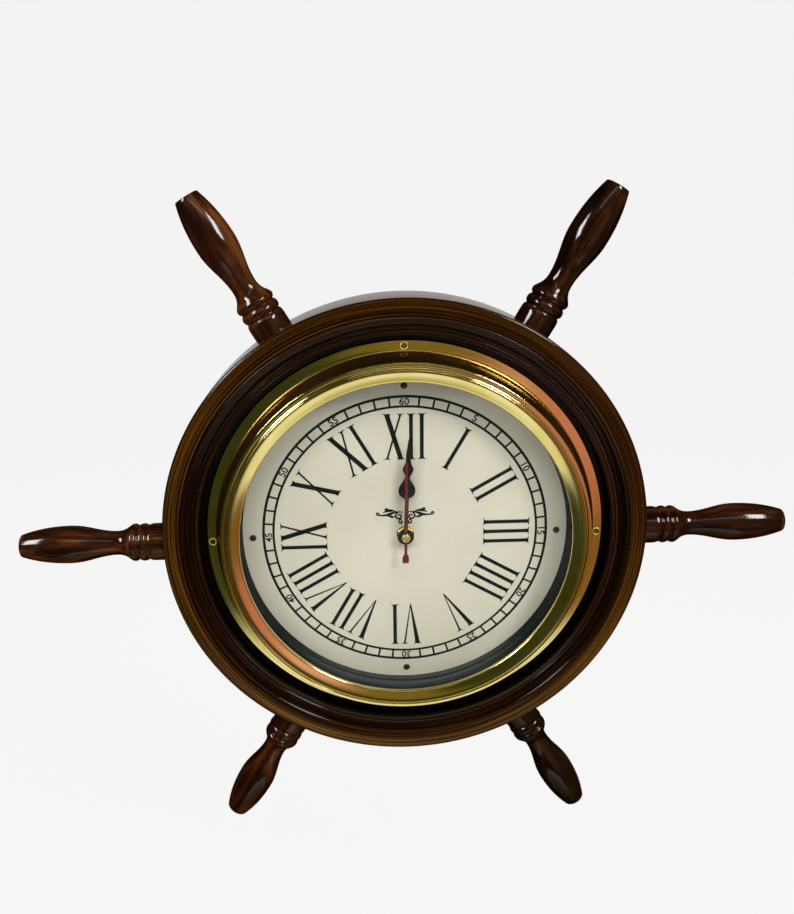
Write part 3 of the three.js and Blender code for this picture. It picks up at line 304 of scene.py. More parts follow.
class Nodes:
    """Short calls for the nodes of a material or a world."""

    def __init__(self, tree):
        self.tree = tree

    def add(self, kind, inputs=None, **settings):
        node = self.tree.nodes.new("ShaderNode" + kind)
        for key, value in settings.items():
            setattr(node, key, value)
        for key, value in (inputs or {}).items():
            if isinstance(value, bpy.types.NodeSocket):
                self.tree.links.new(value, node.inputs[key])
            else:
                node.inputs[key].default_value = value
        return node

    def math(self, operation, a, b=0.0, c=0.0):
        return self.add("Math", {0: a, 1: b, 2: c}, operation=operation).outputs[0]

    def times(self, a, b):
        return self.math("MULTIPLY", a, b)

    def vector(self, operation, a, b=(0, 0, 0)):
        return self.add("VectorMath", {0: a, 1: b}, operation=operation).outputs[0]

    def span(self, value, low, high, to_low=0.0, to_high=1.0):
        sockets = {0: value, 1: low, 2: high, 3: to_low, 4: to_high}
        return self.add("MapRange", sockets, interpolation_type="SMOOTHSTEP").outputs[0]

    def ramp(self, value, *stops):
        node = self.add("ValToRGB", {0: value})
        elements = node.color_ramp.elements
        while len(elements) < len(stops):
            elements.new(0.5)
        for element, (position, colour) in zip(elements, stops):
            element.position = position
            element.color = (*colour, 1)
        return node.outputs[0]

    def mix(self, factor, a, b, blend="MIX"):
        colours = {6: a, 7: b}
        for key, value in colours.items():
            if not isinstance(value, bpy.types.NodeSocket):
                colours[key] = (*value, 1)
        return self.add("Mix", {0: factor, **colours}, data_type="RGBA", blend_type=blend).outputs[2]

    def noise(self, vector, detail, roughness=0.55):
        sockets = {"Vector": vector, "Scale": 1.0, "Detail": detail, "Roughness": roughness}
        return self.add("TexNoise", sockets).outputs[0]

    def place(self):
        return self.add("TexCoord").outputs["Object"]

    def coordinate(self, axis):
        """The place along x, y or z (0 to 2), in mm."""
        return self.times(self.add("SeparateXYZ", {0: self.place()}).outputs[axis], 1000)

    def scaled(self, vector, scale):
        return self.vector("MULTIPLY", vector, scale)

    def mottle(self, scale, detail=3, roughness=0.55):
        """Noise over a piece, finer with a larger scale, which may differ by axis."""
        scales = scale if isinstance(scale, tuple) else (scale, scale, scale)
        return self.noise(self.scaled(self.place(), scales), detail, roughness)

    def radius(self):
        """Distance from the clock's axis, in mm."""
        flat = self.scaled(self.place(), (1000, 0, 1000))
        return self.add("VectorMath", {0: flat}, operation="LENGTH").outputs["Value"]

    def rings(self, around, across, detail=3, roughness=0.55):
        """Noise in streaks that run round the axis: slow along them and fast across."""
        place = self.place()
        flat = self.scaled(place, (1, 0, 1))
        direction = self.vector("NORMALIZE", flat)
        slow = self.scaled(direction, (around, 0, around))
        depth = self.add("SeparateXYZ", {0: place}).outputs[1]
        outwards = self.times(self.radius(), across)
        fast = self.math("MULTIPLY_ADD", depth, 1000 * across * 0.6, outwards)
        rise = self.add("CombineXYZ", {1: fast}).outputs[0]
        return self.noise(self.vector("ADD", slow, rise), detail, roughness)

    def seen(self):
        """1 for what the camera sees directly, through glass or in a mirror."""
        path = self.add("LightPath").outputs
        direct = self.math("MAXIMUM", path["Is Camera Ray"], path["Is Glossy Ray"])
        return self.math("MAXIMUM", direct, path["Is Transmission Ray"])


class Shader(Nodes):
    """A material around a Principled surface."""

    def __init__(self, name, **sockets):
        self.material = bpy.data.materials.new(name)
        self.material.use_nodes = True
        super().__init__(self.material.node_tree)
        self.principled = self.tree.nodes["Principled BSDF"]
        for key, value in sockets.items():
            self.principled.inputs[key.replace("_", " ")].default_value = value

    def link(self, socket, name):
        self.tree.links.new(socket, self.principled.inputs[name])

    def surface(self, shader):
        """Shows this shader in place of the Principled one."""
        output = next(n for n in self.tree.nodes if n.type == "OUTPUT_MATERIAL")
        self.tree.links.new(shader, output.inputs[0])

    def glow(self, colour, strength):
        return self.add("Emission", {0: colour, 1: strength}).outputs[0]

    def lacquer(self, weight, gone=0.9, full=0.5, elsewhere=0.0):
        """A clear coat that thins out towards the outline, as worn lacquer does on a rounded edge."""
        facing = self.add("LayerWeight", {0: 0.5}).outputs["Facing"]
        thinned = self.span(facing, gone, full, 0.0, weight)
        self.link(self.math("MAXIMUM", thinned, elsewhere), "Coat Weight")

    def bump(self, height, strength, distance=0.0002):
        """Bumps the surface, and gives the bumped normal."""
        normal = self.add("Bump", {"Height": height, "Strength": strength, "Distance": distance}).outputs[0]
        self.link(normal, "Normal")
        return normal


def rgb(red, green, blue):
    """A colour written as a screen shows it, made linear."""
    shares = [v / 255 for v in (red, green, blue)]
    return tuple(v / 12.92 if v <= 0.04 else ((v + 0.055) / 1.055) ** 2.4 for v in shares)


# Materials

def rim_wood():
    s = Shader("turned_rim_wood", IOR=1.45, Specular_IOR_Level=0.0, Coat_Roughness=0.05)
    radius = s.radius()
    on_wall = s.span(radius, RIM_R - 0.5, RIM_R - 0.1)
    on_face = s.times(s.span(radius, FACE_R - 0.6, FACE_R + 0.4), s.span(radius, RIM_R - 0.7, RIM_R - 1.6))
    on_back = s.span(s.coordinate(1), -0.6, -0.2)
    coat = s.times(s.math("MULTIPLY_ADD", on_face, -0.27, 0.45), s.math("SUBTRACT", 1.0, on_back))
    s.lacquer(coat, elsewhere=s.times(on_wall, 0.54))
    fine = s.rings(1.3, 1.1, 5, 0.6)
    broad = s.rings(0.9, 0.32)
    streaks = s.mix(0.28, fine, broad)
    stops = (0.34, rgb(15, 5, 1)), (0.45, rgb(33, 15, 3)), (0.55, rgb(53, 30, 6)), (0.67, rgb(90, 61, 22))
    face = s.ramp(streaks, *stops)
    golden = s.span(radius, FACE_R + 1, FACE_R + 6)
    face = s.mix(golden, face, s.mix(1.0, face, (1.6, 1.75, 1.2), "MULTIPLY"))
    # Painted shade: the face band is darkened towards the top and left lighter towards the bottom, standing
    # in for how the light falls on it.
    darkening = s.span(s.coordinate(2), -90, 30)
    face = s.mix(s.times(darkening, 0.8), face, s.mix(1.0, face, rgb(178, 158, 128), "MULTIPLY"))
    dark = s.ramp(streaks, (0.32, rgb(8, 2, 1)), (0.52, rgb(21, 8, 3)), (0.70, rgb(46, 24, 9)))
    colour = s.mix(on_face, dark, face)
    colour = s.mix(on_wall, colour, s.mix(streaks, rgb(34, 20, 10), rgb(72, 48, 27)))
    pale = s.span(s.rings(0.5, 1.9, 2), 0.56, 0.7, 0.0, 0.5)
    colour = s.mix(pale, colour, s.mix(on_face, rgb(74, 46, 26), rgb(112, 78, 32)))
    # Painted shade: everything inside the recess radius is painted near-black, standing in for the shadow
    # down in the recess.
    colour = s.mix(s.span(radius, RECESS_R + 1.1, RECESS_R - 0.1), colour, rgb(7, 4, 3))
    bare_grain = s.mottle((9, 60, 260), 5, 0.6)
    bare = s.ramp(bare_grain, (0.35, rgb(58, 38, 22)), (0.52, rgb(86, 60, 36)), (0.68, rgb(112, 82, 52)))
    colour = s.mix(on_back, colour, bare)
    s.link(colour, "Base Color")
    polished = s.span(broad, 0.3, 0.7, 0.2, 0.34)
    s.link(s.math("MAXIMUM", polished, s.times(on_back, 0.7)), "Roughness")
    ridges = s.span(s.rings(0.2, 1.4, 2), 0.35, 0.65)
    ridges = s.times(ridges, s.math("MULTIPLY_ADD", on_face, -0.85, 1.0))
    uneven = s.bump(s.math("ADD", s.times(fine, 0.1), ridges), 0.25, 0.0002)
    s.link(uneven, "Coat Normal")
    return s.material, "lacquered_wood"


def handle_wood(seed, bearing, darkening):
    """Dark lacquered wood whose grain runs along a handle that points this way from the axis."""
    s = Shader("turned_handle_wood", IOR=1.45, Specular_IOR_Level=0.0, Coat_Roughness=0.1)
    s.lacquer(0.6, 0.56, 0.3)
    place = s.add("Mapping", {"Vector": s.place(), "Rotation": (0, bearing, 0)}).outputs[0]
    shift = (seed * 0.37, seed * 0.11, seed * 0.53)
    moved = s.vector("ADD", place, shift)
    bent = s.noise(s.scaled(moved, (9, 30, 30)), 2)
    grain = s.noise(s.vector("ADD", s.scaled(moved, (7, 150, 150)), bent), 6, 0.62)
    pores = s.noise(s.scaled(moved, (30, 900, 900)), 3)
    stops = (0.3, rgb(10, 4, 2)), (0.43, rgb(29, 12, 6)), (0.55, rgb(52, 25, 11)), (0.69, rgb(94, 58, 24))
    colour = s.ramp(grain, *stops)
    colour = s.mix(s.span(pores, 0.55, 0.75, 0.0, 0.5), colour, rgb(10, 4, 2))
    along = s.math("MULTIPLY_ADD", s.add("SeparateXYZ", {0: place}).outputs[0], 1000, -RIM_R - 0.3)
    worn = [(9.6, 1.3), (14.8, 1.2), (21.2, 1.6), (85.0, 2.2)]
    edges = 0.0
    for middle, reach in worn:
        away = s.math("ABSOLUTE", s.math("SUBTRACT", along, middle))
        edges = s.math("MAXIMUM", s.span(away, reach, 0.0), edges)
    patchy = s.span(s.noise(s.scaled(moved, (90, 90, 90)), 3), 0.42, 0.62)
    colour = s.mix(s.times(s.times(edges, patchy), 0.5), colour, rgb(118, 64, 30))
    colour = s.mix(1.0, colour, darkening, "MULTIPLY")
    s.link(colour, "Base Color")
    s.link(s.span(pores, 0.3, 0.7, 0.3, 0.42), "Roughness")
    ripples = s.noise(s.scaled(moved, (700, 1300, 1300)), 3)
    uneven = s.bump(s.math("ADD", grain, s.times(ripples, 0.8)), 0.3, 0.0001)
    s.link(uneven, "Coat Normal")
    return s.material, "lacquered_wood"


def brass(name="polished_brass", tone=(232, 216, 152), rough=(0.06, 0.12), metallic=1.0, rough_painted_shade_radius=None):
    """Brass; within a given radius, if there is one, it is less polished and its colour is darkened there
    as painted shade.
    """
    s = Shader(name, Metallic=metallic)
    turned_lines = s.rings(0.7, 2.4)
    clouds = s.mottle(22, 4)
    specks = s.mottle(420, 2)
    light = rgb(*tone)
    deep = rgb(tone[0] - 14, tone[1] - 18, tone[2] - 28)
    colour = s.mix(s.span(clouds, 0.36, 0.68), light, deep)
    colour = s.mix(s.span(specks, 0.73, 0.8, 0.0, 0.5), colour, rgb(104, 78, 34))
    roughness = s.span(turned_lines, 0.3, 0.7, *rough)
    if rough_painted_shade_radius:
        # Painted shade: inside this radius the colour is darkened, standing in for the dark reflections in
        # the hollow neck; the higher roughness there is a less polished finish.
        rough_painted_shade = s.span(s.radius(), rough_painted_shade_radius + 0.5, rough_painted_shade_radius - 0.5)
        colour = s.mix(rough_painted_shade, colour, s.mix(1.0, colour, rgb(158, 132, 96), "MULTIPLY"))
        roughness = s.math("MAXIMUM", roughness, s.times(rough_painted_shade, 0.27))
    s.link(colour, "Base Color")
    s.link(roughness, "Roughness")
    s.bump(turned_lines, 0.01, 0.00002)
    return s.material, "brass"


def clear_glass():
    s = Shader("clear_glass", Roughness=0.02, IOR=1.5, Specular_IOR_Level=0.22, Alpha=0.06)
    smears = s.mottle(14)
    s.link(s.ramp(smears, (0.3, (0.04, 0.05, 0.05)), (0.7, (0.08, 0.09, 0.09))), "Base Color")
    return s.material, "glass"


def slate():
    s = Shader("slate_spacer", Specular_IOR_Level=0.015)
    lines = s.rings(0.4, 2.2)
    bare = s.ramp(lines, (0.35, rgb(4, 6, 7)), (0.5, rgb(9, 12, 14)), (0.68, rgb(22, 27, 29)))
    painted_lit_bottom = s.ramp(lines, (0.35, rgb(26, 30, 30)), (0.5, rgb(42, 47, 47)), (0.68, rgb(76, 82, 80)))
    # Painted light: the lower part of the tube is painted lighter, standing in for the light from above
    # that falls on its bottom.
    s.link(s.mix(s.span(s.coordinate(2), -62, -90), bare, painted_lit_bottom), "Base Color")
    s.link(s.span(lines, 0.3, 0.7, 0.4, 0.55), "Roughness")
    s.bump(lines, 0.15, 0.0001)
    return s.material, "slate"


def cream():
    s = Shader("cream_dial", Specular_IOR_Level=0.3, Roughness=0.5)
    clouds = s.mottle(11)
    fibres = s.mottle((900, 900, 500))
    colour = s.ramp(clouds, (0.34, rgb(203, 200, 180)), (0.66, rgb(216, 213, 195)))
    colour = s.mix(s.span(fibres, 0.35, 0.7, 0.0, 0.06), colour, rgb(150, 140, 112))
    s.link(colour, "Base Color")
    s.bump(fibres, 0.05, 0.00004)
    return s.material, "dial_face"


def ink():
    s = Shader("dial_print", Roughness=0.45, Specular_IOR_Level=0.1)
    spread = s.mottle(700, 2)
    s.link(s.ramp(spread, (0.3, rgb(4, 6, 7)), (0.75, rgb(14, 17, 18))), "Base Color")
    return s.material, "dial_face"


def speckled(name, slot, low, high, roughness=0.4, scale=600.0, bump=0.06, **sockets):
    """A plain finish with fine variation in its colour and surface."""
    s = Shader(name, **sockets)
    fine = s.mottle(scale)
    s.link(s.ramp(fine, (0.32, rgb(*low)), (0.68, rgb(*high))), "Base Color")
    s.link(s.span(fine, 0.3, 0.7, roughness * 0.85, roughness * 1.15), "Roughness")
    if bump:
        s.bump(fine, bump, 0.00004)
    return s.material, slot


def winding():
    s = Shader("copper_winding", Metallic=0.9)
    height = s.add("SeparateXYZ", {0: s.place()}).outputs[2]
    turns = s.math("SINE", s.times(height, 2 * pi / 0.0004))
    # Painted shade: each turn's colour darkens into the groove between turns and lightens on its crest, as
    # light falls on round wire.
    s.link(s.ramp(s.span(turns, -1, 1), (0.0, rgb(96, 44, 18)), (1.0, rgb(196, 108, 52))), "Base Color")
    s.link(s.span(turns, -1, 1, 0.5, 0.3), "Roughness")
    s.bump(turns, 0.4, 0.0001)
    return s.material, "copper_winding"


def cell():
    """A plain cell: a dark sleeve with a brass-coloured band at its nub's end."""
    s = Shader("cell_sleeve", Metallic=0.35)
    along = s.coordinate(0)
    fine = s.mottle((60, 900, 900))
    sleeve = s.ramp(fine, (0.3, rgb(26, 36, 58)), (0.7, rgb(38, 50, 76)))
    colour = s.mix(s.span(along, 11.6, 11.9), sleeve, rgb(176, 128, 58))
    metal_end = s.math("MAXIMUM", s.span(along, 23.9, 24.1), s.span(along, -24.9, -25.1))
    colour = s.mix(metal_end, colour, rgb(176, 176, 172))
    s.link(colour, "Base Color")
    s.link(s.span(fine, 0.3, 0.7, 0.26, 0.4), "Roughness")
    return s.material, "cell_sleeve"


RIM_WOOD = rim_wood()
BRASS = brass()
FLANGE_BRASS = brass("flange_brass", rough_painted_shade_radius=NECK_FOOT_R[1] + 0.8)
AGED_BRASS = brass("aged_brass", (74, 56, 40), (0.24, 0.36))
NUT_BRASS = brass("nut_brass", (232, 218, 112), (0.26, 0.38), 0.4)
CAP_BRASS = brass("cap_brass", (226, 206, 134), (0.2, 0.3), 0.7)
GLASS = clear_glass()
SLATE = slate()
CREAM = cream()
INK = ink()
BLACK = speckled("black_hands", "black_hands", (5, 6, 7), (15, 17, 18), 0.32, Specular_IOR_Level=0.35)
RED = speckled("red_hand", "red_hand", (84, 16, 20), (112, 26, 30), 0.35, Specular_IOR_Level=0.35)
STEEL = speckled("zinc_steel", "steel", (150, 152, 154), (190, 191, 190), 0.3, 300, Metallic=1.0)
DARK_STEEL = speckled("dark_screws", "dark_screws", (58, 50, 42), (104, 92, 74), 0.32, 900, Metallic=1.0)
CASING = speckled("black_casing", "black_casing", (17, 18, 19), (27, 28, 29), 0.5, 1400, 0.25)
NYLON = speckled("nylon", "nylon", (218, 214, 202), (236, 233, 224), 0.42, 500, Subsurface_Weight=0.05)
RUBBER = speckled("rubber", "rubber", (20, 20, 20), (34, 34, 33), 0.8, 900, 0.2)
BOARD = speckled("circuit_board", "circuit_board", (22, 70, 34), (38, 96, 48), 0.45, 400)
MAGNET = speckled("magnet", "magnet", (54, 54, 57), (82, 82, 86), 0.45, 700, Metallic=0.6)


# The wooden wheel

def rim_outline():
    """The rim's section, from its back round its face and down into the recess."""
    cove_depth = 4.8
    back, edge_r = RIM_THICKNESS, 1.8
    wall = [(CAVITY_R, back), (RIM_R - 1.0, back), (RIM_R, back - 1.0), (RIM_R, edge_r)]
    outline = rounded(wall, 0.5, closed=False)[:-1]
    outline += arc((RIM_R - edge_r, edge_r), edge_r, edge_r, 0, 90, 8)
    outline += [(RIM_R - 2.6, 0.05), (FACE_R + 5.0, 0.16), (FACE_R + 0.9, 0.08), (FACE_R + 0.35, 0.25)]
    outline += [(FACE_R, 0.9), (FACE_R - 0.2, 1.25), (FACE_R - 0.45, 1.1)]
    outline += bead(OUTER_BEAD_R, FACE_R - 0.5, 1.1, 1.0, 14)[::-1]
    outline += [(OUTER_BEAD_R - 0.1, 1.5), (OUTER_BEAD_R - 0.35, 1.45)]
    cove_at = (OUTER_BEAD_R - 0.1, cove_depth)
    outline += arc(cove_at, COVE_R - OUTER_BEAD_R + 0.5, cove_depth - 1.5, 98, 172)
    outline += [(COVE_R + 0.1, cove_depth + 0.35)]
    outline += bead(INNER_BEAD_R + 0.1, COVE_R - 0.2, cove_depth, 0.9, 12)[::-1]
    outline += [(INNER_BEAD_R - 0.15, 4.75), (INNER_BEAD_R - 0.4, 4.1)]
    recess = [(INNER_BEAD_R - 0.6, 4.0), (RECESS_R, 4.0), (RECESS_R, SEAT_DEPTH), (LEDGE_R, SEAT_DEPTH)]
    recess += [(LEDGE_R, LEDGE_DEPTH), (CAVITY_R, LEDGE_DEPTH), (CAVITY_R, back - 0.2)]
    return outline + rounded(recess, 0.45, closed=False)


def make_rim():
    """The rim, with pockets in its back for the hanger plate and for the head of the screw in the wall."""
    plate = rectangle(HANGER[0] / 2 + 0.3, HANGER[1] / 2 + 0.3, HANGER_Z)
    deep = rounded(rectangle(6.0, 8.8, HANGER_Z - 1.2), 2.4, 4)
    rim = turned("rim_wood", rim_outline(), RIM_WOOD, sides=240, node="wheel_rim")
    pockets = [
        (plate, RIM_THICKNESS - 1.8, RIM_THICKNESS + 2),
        (deep, RIM_THICKNESS - 8.8, RIM_THICKNESS - 1.0),
    ]
    cut_away(rim, pockets)


def handle_outline(shorter):
    """A handle's section in (radius, distance from its shoulder), its grip shorter by this much."""
    drum_r, groove, ridge = 11.1, 9.95, 11.2
    points = [(0, -1.5), (10.9, -1.5), (drum_r, 1.0), (drum_r, 6.6)]
    for step in range(12, 90, 12):
        bend = radians(step)
        points.append((drum_r - 1.2 * (1 - cos(bend)), 6.6 + 3.5 * sin(bend)))
    points.append((groove, 10.3))
    for start, length in ((10.5, 5.3), (16.4, 4.6)):
        for t in shares(12):
            bulge = sin(pi * t) ** 0.62
            points.append((groove + (ridge - groove) * bulge, start + length * t))
        points.append((groove - 0.05, start + length + 0.25))
    points = points[:-2]
    cove_from, cove_r, neck_at, neck_r = 21.3, 10.1, 29.6, 7.15
    belly_at, belly_r, tip_at, tip_r, end = 57.0, 11.2, 86.05, 6.8, 86.3
    for t in shares(8):
        points.append((neck_r + (cove_r - neck_r) * (1 - t) ** 2.4, cove_from + (neck_at - cove_from) * t))
    for t in shares(14)[1:]:
        swell = (1 - cos(pi * t)) / 2
        points.append((neck_r + (belly_r - neck_r) * swell, neck_at + (belly_at - neck_at) * t))
    for t in shares(18)[1:]:
        points.append((tip_r + (belly_r - tip_r) * (1 - t ** 2.2), belly_at + (tip_at - belly_at) * t))
    points += [(tip_r - 0.25, end - 0.05), (tip_r - 0.6, end), (tip_r * 0.6, end), (0, end)]
    loss = shorter / (end - cove_from)
    return [(r, along - max(0.0, along - cove_from) * loss) for r, along in points]


# Each handle's offset in bearing (degrees), how much shorter it is (mm), and its stain
HANDLES = [
    ("right", 0.5, 0.1, (0.5, 0.42, 0.42)),
    ("upper_right", -0.4, 0.0, (0.34, 0.3, 0.3)),
    ("upper_left", 0.35, 2.5, (0.85, 0.78, 0.7)),
    ("left", 0.4, 0.6, (0.8, 0.76, 0.74)),
    ("lower_left", -0.35, 3.2, (0.55, 0.4, 0.38)),
    ("lower_right", -0.25, 2.7, (0.27, 0.32, 0.36)),
]


def make_handles():
    """Six handles, each a little off in its bearing, length and stain, as hand-turned ones are."""
    for i, (name, aside, shorter, darkening) in enumerate(HANDLES):
        verts, faces = revolved(handle_outline(shorter), 72, closed=False)
        bearing = radians(60 * i + aside)
        out = Vector((cos(bearing), 0, sin(bearing)))
        front = Vector((0, -1, 0))
        side = out.cross(front)
        start = out * (RIM_R + 0.3) + Vector((0, HANDLE_DEPTH, 0))
        stood = [start + side * v.x + out * v.y + front * v.z for v in verts]
        look = handle_wood(i + 1, bearing, darkening)
        make("handle_wood_" + name, stood, faces, look, node="handle_" + name, sharp=50)


# The brass porthole

def make_flange():
    front, back = FLANGE_DEPTH, FLANGE_DEPTH + 1.2
    neck_top, skirt_end = -2.3, 4.3
    outline = [(NECK_FOOT_R[0], back), (NECK_R[0], skirt_end)]
    outline += [(NECK_R[0], neck_top), (NECK_R[1] - 0.25, neck_top)]
    edge = FLANGE_R - 1.1
    land = front - 0.45
    sweep = [(NECK_R[1], neck_top + 0.25), (NECK_FOOT_R[1] - 0.15, land), (edge - 0.2, land - 0.06)]
    outline += rounded(sweep, 2.3, 10, closed=False)
    outline += arc((edge, land + 0.84), 1.1, 0.9, 84, 0, 8) + [(FLANGE_R, back)]
    turned("flange_brass", outline, FLANGE_BRASS, sides=360, node="flange_ring")


def bezel_face(t):
    """The bezel's hollow-backed face, from its lip (0) to its crest (1), in (radius, depth)."""
    rise = 1.0 + 1.5 * t * (1.35 - 0.35 * t * t)
    return (FACE_FROM_R + (CREST_R - FACE_FROM_R) * t, -PROUD - rise)


def make_bezel():
    lip_back = -PROUD + 1.3
    under = -PROUD + 1.9
    outline = [(LIP_R, lip_back), (LIP_R, -PROUD - 0.4)]
    outline += arc((LIP_R + 0.7, -PROUD - 0.35), 0.7, 0.66, 180, 100, 8)
    outline += [bezel_face(0.01 + 0.96 * t) for t in shares(24)]
    outline += arc((CREST_R - 0.05, -PROUD - 2.12), 0.36, 0.38, 100, 20, 5)
    hollow = [(0.75, 1.1), (1.1, 0.72), (1.5, 0.52), (1.85, 0.48)]
    outline += [(CREST_R + out, -PROUD - rise) for out, rise in hollow]
    roll_at, roll_half = sum(ROLL_R) / 2, (ROLL_R[1] - ROLL_R[0]) / 2
    for t in shares(28):
        across = -cos(pi * t)
        rise = 0.85 * sqrt(max(0.0, 1 - across ** 6))
        outline.append((roll_at + roll_half * across, -PROUD - 0.1 - rise))
    outline += [(ROLL_R[1], -PROUD + 1.2), (ROLL_R[1] - 0.2, under), (SKIRT_R[1], under)]
    outline += [(SKIRT_R[1], lip_back + 7.2), (SKIRT_R[0], lip_back + 7.2), (SKIRT_R[0], lip_back)]
    turned("bezel_brass", outline, BRASS, sides=360, node="bezel_ring")


def make_glass():
    r = SKIRT_R[0] - 0.3
    front = -PROUD + 1.6
    back = front + 2
    outline = [(0, front), (r - 0.3, front), (r, front + 0.3), (r, back - 0.3), (r - 0.3, back), (0, back)]
    turned("glass_pane", outline, GLASS, closed=False, node="glass")


def make_spacer():
    """The dark tube from the glass down to the dial, with fine turned lines inside."""
    inner, outer = SPACER_R
    top, bottom = -0.6, DIAL_DEPTH - 0.3
    steps = 26
    outline = [(inner, bottom)]
    for k in range(steps + 1):
        line = 0.05 if k % 4 == 2 else 0.0
        outline.append((inner + line, bottom + (top - bottom) * k / steps))
    outline += [(outer, top), (outer, bottom)]
    turned("spacer_slate", outline, SLATE, node="spacer_tube")


# Screws

def screw_head(name, place, radius, height, look, node, recess=0.75, angle=0.0):
    """A round head with a cross cut into it, its rim eased; local y runs into the piece."""
    outline = [(0, -height), (radius * 0.55, -height * 0.93), (radius * 0.86, -height * 0.62)]
    outline += [(radius, -height * 0.12), (radius, 0.12), (radius * 0.55, 0.9), (0, 0.9)]
    head = turned(name, outline, look, 32, closed=False, node=node, place=place)
    arm, wide = radius * 0.62, radius * 0.17
    bars = [(rectangle(w, h), -height - 1, -height + recess) for w, h in ((arm, wide), (wide, arm))]
    turn = Matrix.Rotation(radians(angle), 4, "Y")
    cut_away(head, bars, place @ turn, 30)


QUARTERS = ["right", "top", "left", "bottom"]


def make_front_screws():
    for i, name in enumerate(QUARTERS):
        angle = radians(90 * i)
        x, z = cos(angle), sin(angle)
        at_flange = Matrix.Translation(at(x * FLANGE_SCREW_R, FLANGE_DEPTH, z * FLANGE_SCREW_R))
        node = "flange_screw_" + name
        screw_head("flange_screw_head_" + name, at_flange, 1.75, 0.8, AGED_BRASS, node, 0.8, 20 + 37 * i)
        ring = bead(1.55, 2.4, -0.5, 0.4, 8) + [(2.4, 0.2), (1.55, 0.2)]
        turned("flange_screw_seat_" + name, ring, CAP_BRASS, 48, place=at_flange)
        at_dial = Matrix.Translation(at(x * DIAL_SCREW_R, DIAL_DEPTH - 0.2, z * DIAL_SCREW_R))
        node = "dial_screw_" + name
        screw_head("dial_screw_head_" + name, at_dial, 2.0, 0.9, DARK_STEEL, node, angle=15 + 31 * i)


# The dial and its print

def make_dial():
    front, back = DIAL_DEPTH, DIAL_BACK
    card = [(SPINDLE_HOLE_R, front), (DIAL_R, front), (DIAL_R, back), (SPINDLE_HOLE_R, back)]
    turned("dial_card", rounded(card, 0.15), CREAM, node="dial_plate")


def ring_strip(inner, outer, sides=240):
    return circle(inner, sides) + circle(outer, sides), band(0, sides, sides)


NUMERAL_HEIGHT = NUMERAL_R[1] - NUMERAL_R[0]
STEM = 2.25
THIN = 1.2
SERIF = 4.95
SLAB = 0.42
BRACKET = 1.9


def stroke(foot, head, width):
    """A straight stroke between two heights, its ends cut level."""
    half = width / 2
    return [(foot - half, 0), (foot + half, 0), (head + half, 1), (head - half, 1)]


def serif(centre, width, stem, at_top, lean=0.0):
    """A bracketed slab serif, hollowed a little on its outer edge."""
    half, neck = width / 2, stem / 2
    bracket = []
    for t in shares(5):
        across = half + (neck - half) * (1 - (1 - t) ** 2.2)
        bracket.append((across, SLAB + (BRACKET - SLAB) * t ** 1.7))
    shape = [(-half, 0.0), (-half * 0.5, 0.16), (0, 0.24), (half * 0.5, 0.16), (half, 0.0)]
    shape += bracket + [(-x, h) for x, h in reversed(bracket[:-1])]
    return [(x + centre + lean * h, NUMERAL_HEIGHT - h if at_top else h) for x, h in shape]


def glyph(letter, x):
    """Outlines of one Roman letter standing at x."""

    def tall(shape):
        return [(px, 0.2 + share * (NUMERAL_HEIGHT - 0.4)) for px, share in shape]

    if letter == "I":
        return [tall(stroke(x, x, STEM)), serif(x, SERIF, STEM, False), serif(x, SERIF, STEM, True)]
    bold, reach = STEM * 1.3, 4.1
    wide, narrow = SERIF * 0.92, SERIF * 0.85
    if letter == "X":
        lean = 2 * reach / NUMERAL_HEIGHT
        return [
            tall(stroke(x + reach, x - reach, bold)),
            tall(stroke(x - reach, x + reach, THIN)),
            serif(x + reach, wide, bold, False, -lean),
            serif(x - reach, wide, bold, True, lean),
            serif(x - reach, narrow, THIN, False, lean),
            serif(x + reach, narrow, THIN, True, -lean),
        ]
    lean = reach / NUMERAL_HEIGHT
    left = [(x + 0.05, -0.01), (x + 0.75, -0.01)] + stroke(x, x - reach, bold)[2:]
    right = [(x + 0.1, -0.01), (x + 0.6, -0.01)] + stroke(x, x + reach, THIN)[2:]
    return [
        tall(left),
        tall(right),
        serif(x - reach, wide, bold, True, lean),
        serif(x + reach, narrow, THIN, True, -lean),
    ]


def numeral(text):
    """Outlines of a Roman numeral, centred across and standing on the numerals' inner radius."""
    widths = {"I": SERIF, "X": 8.2 + SERIF * 0.9, "V": 8.2 + SERIF * 0.9}
    gap = 1.25
    x = -(sum(widths[c] for c in text) + gap * (len(text) - 1)) / 2
    shapes = []
    for c in text:
        shapes += glyph(c, x + widths[c] / 2)
        x += widths[c] + gap
    return [[(px, pz + NUMERAL_R[0]) for px, pz in shape] for shape in shapes]


def ribbon(path, widths):
    """The left and right edges of a stroke along a path, its width following a list."""
    left, right = [], []
    count = len(path)
    for i, point in enumerate(path):
        p = Vector(point)
        ahead = Vector(path[min(i + 1, count - 1)]) - Vector(path[max(i - 1, 0)])
        normal = Vector((-ahead.y, ahead.x)).normalized()
        share = i / (count - 1) * (len(widths) - 1)
        k = min(int(share), len(widths) - 2)
        width = widths[k] + (widths[k + 1] - widths[k]) * (share - k)
        left.append(tuple(p + normal * width / 2))
        right.append(tuple(p - normal * width / 2))
    return left, right


def spiral(centre, start_r, end_r, start, sweep, steps=22):
    points = []
    for t in shares(steps):
        angle = radians(start + sweep * t)
        r = start_r + (end_r - start_r) * t
        points.append((centre[0] + r * cos(angle), centre[1] + r * sin(angle)))
    return points


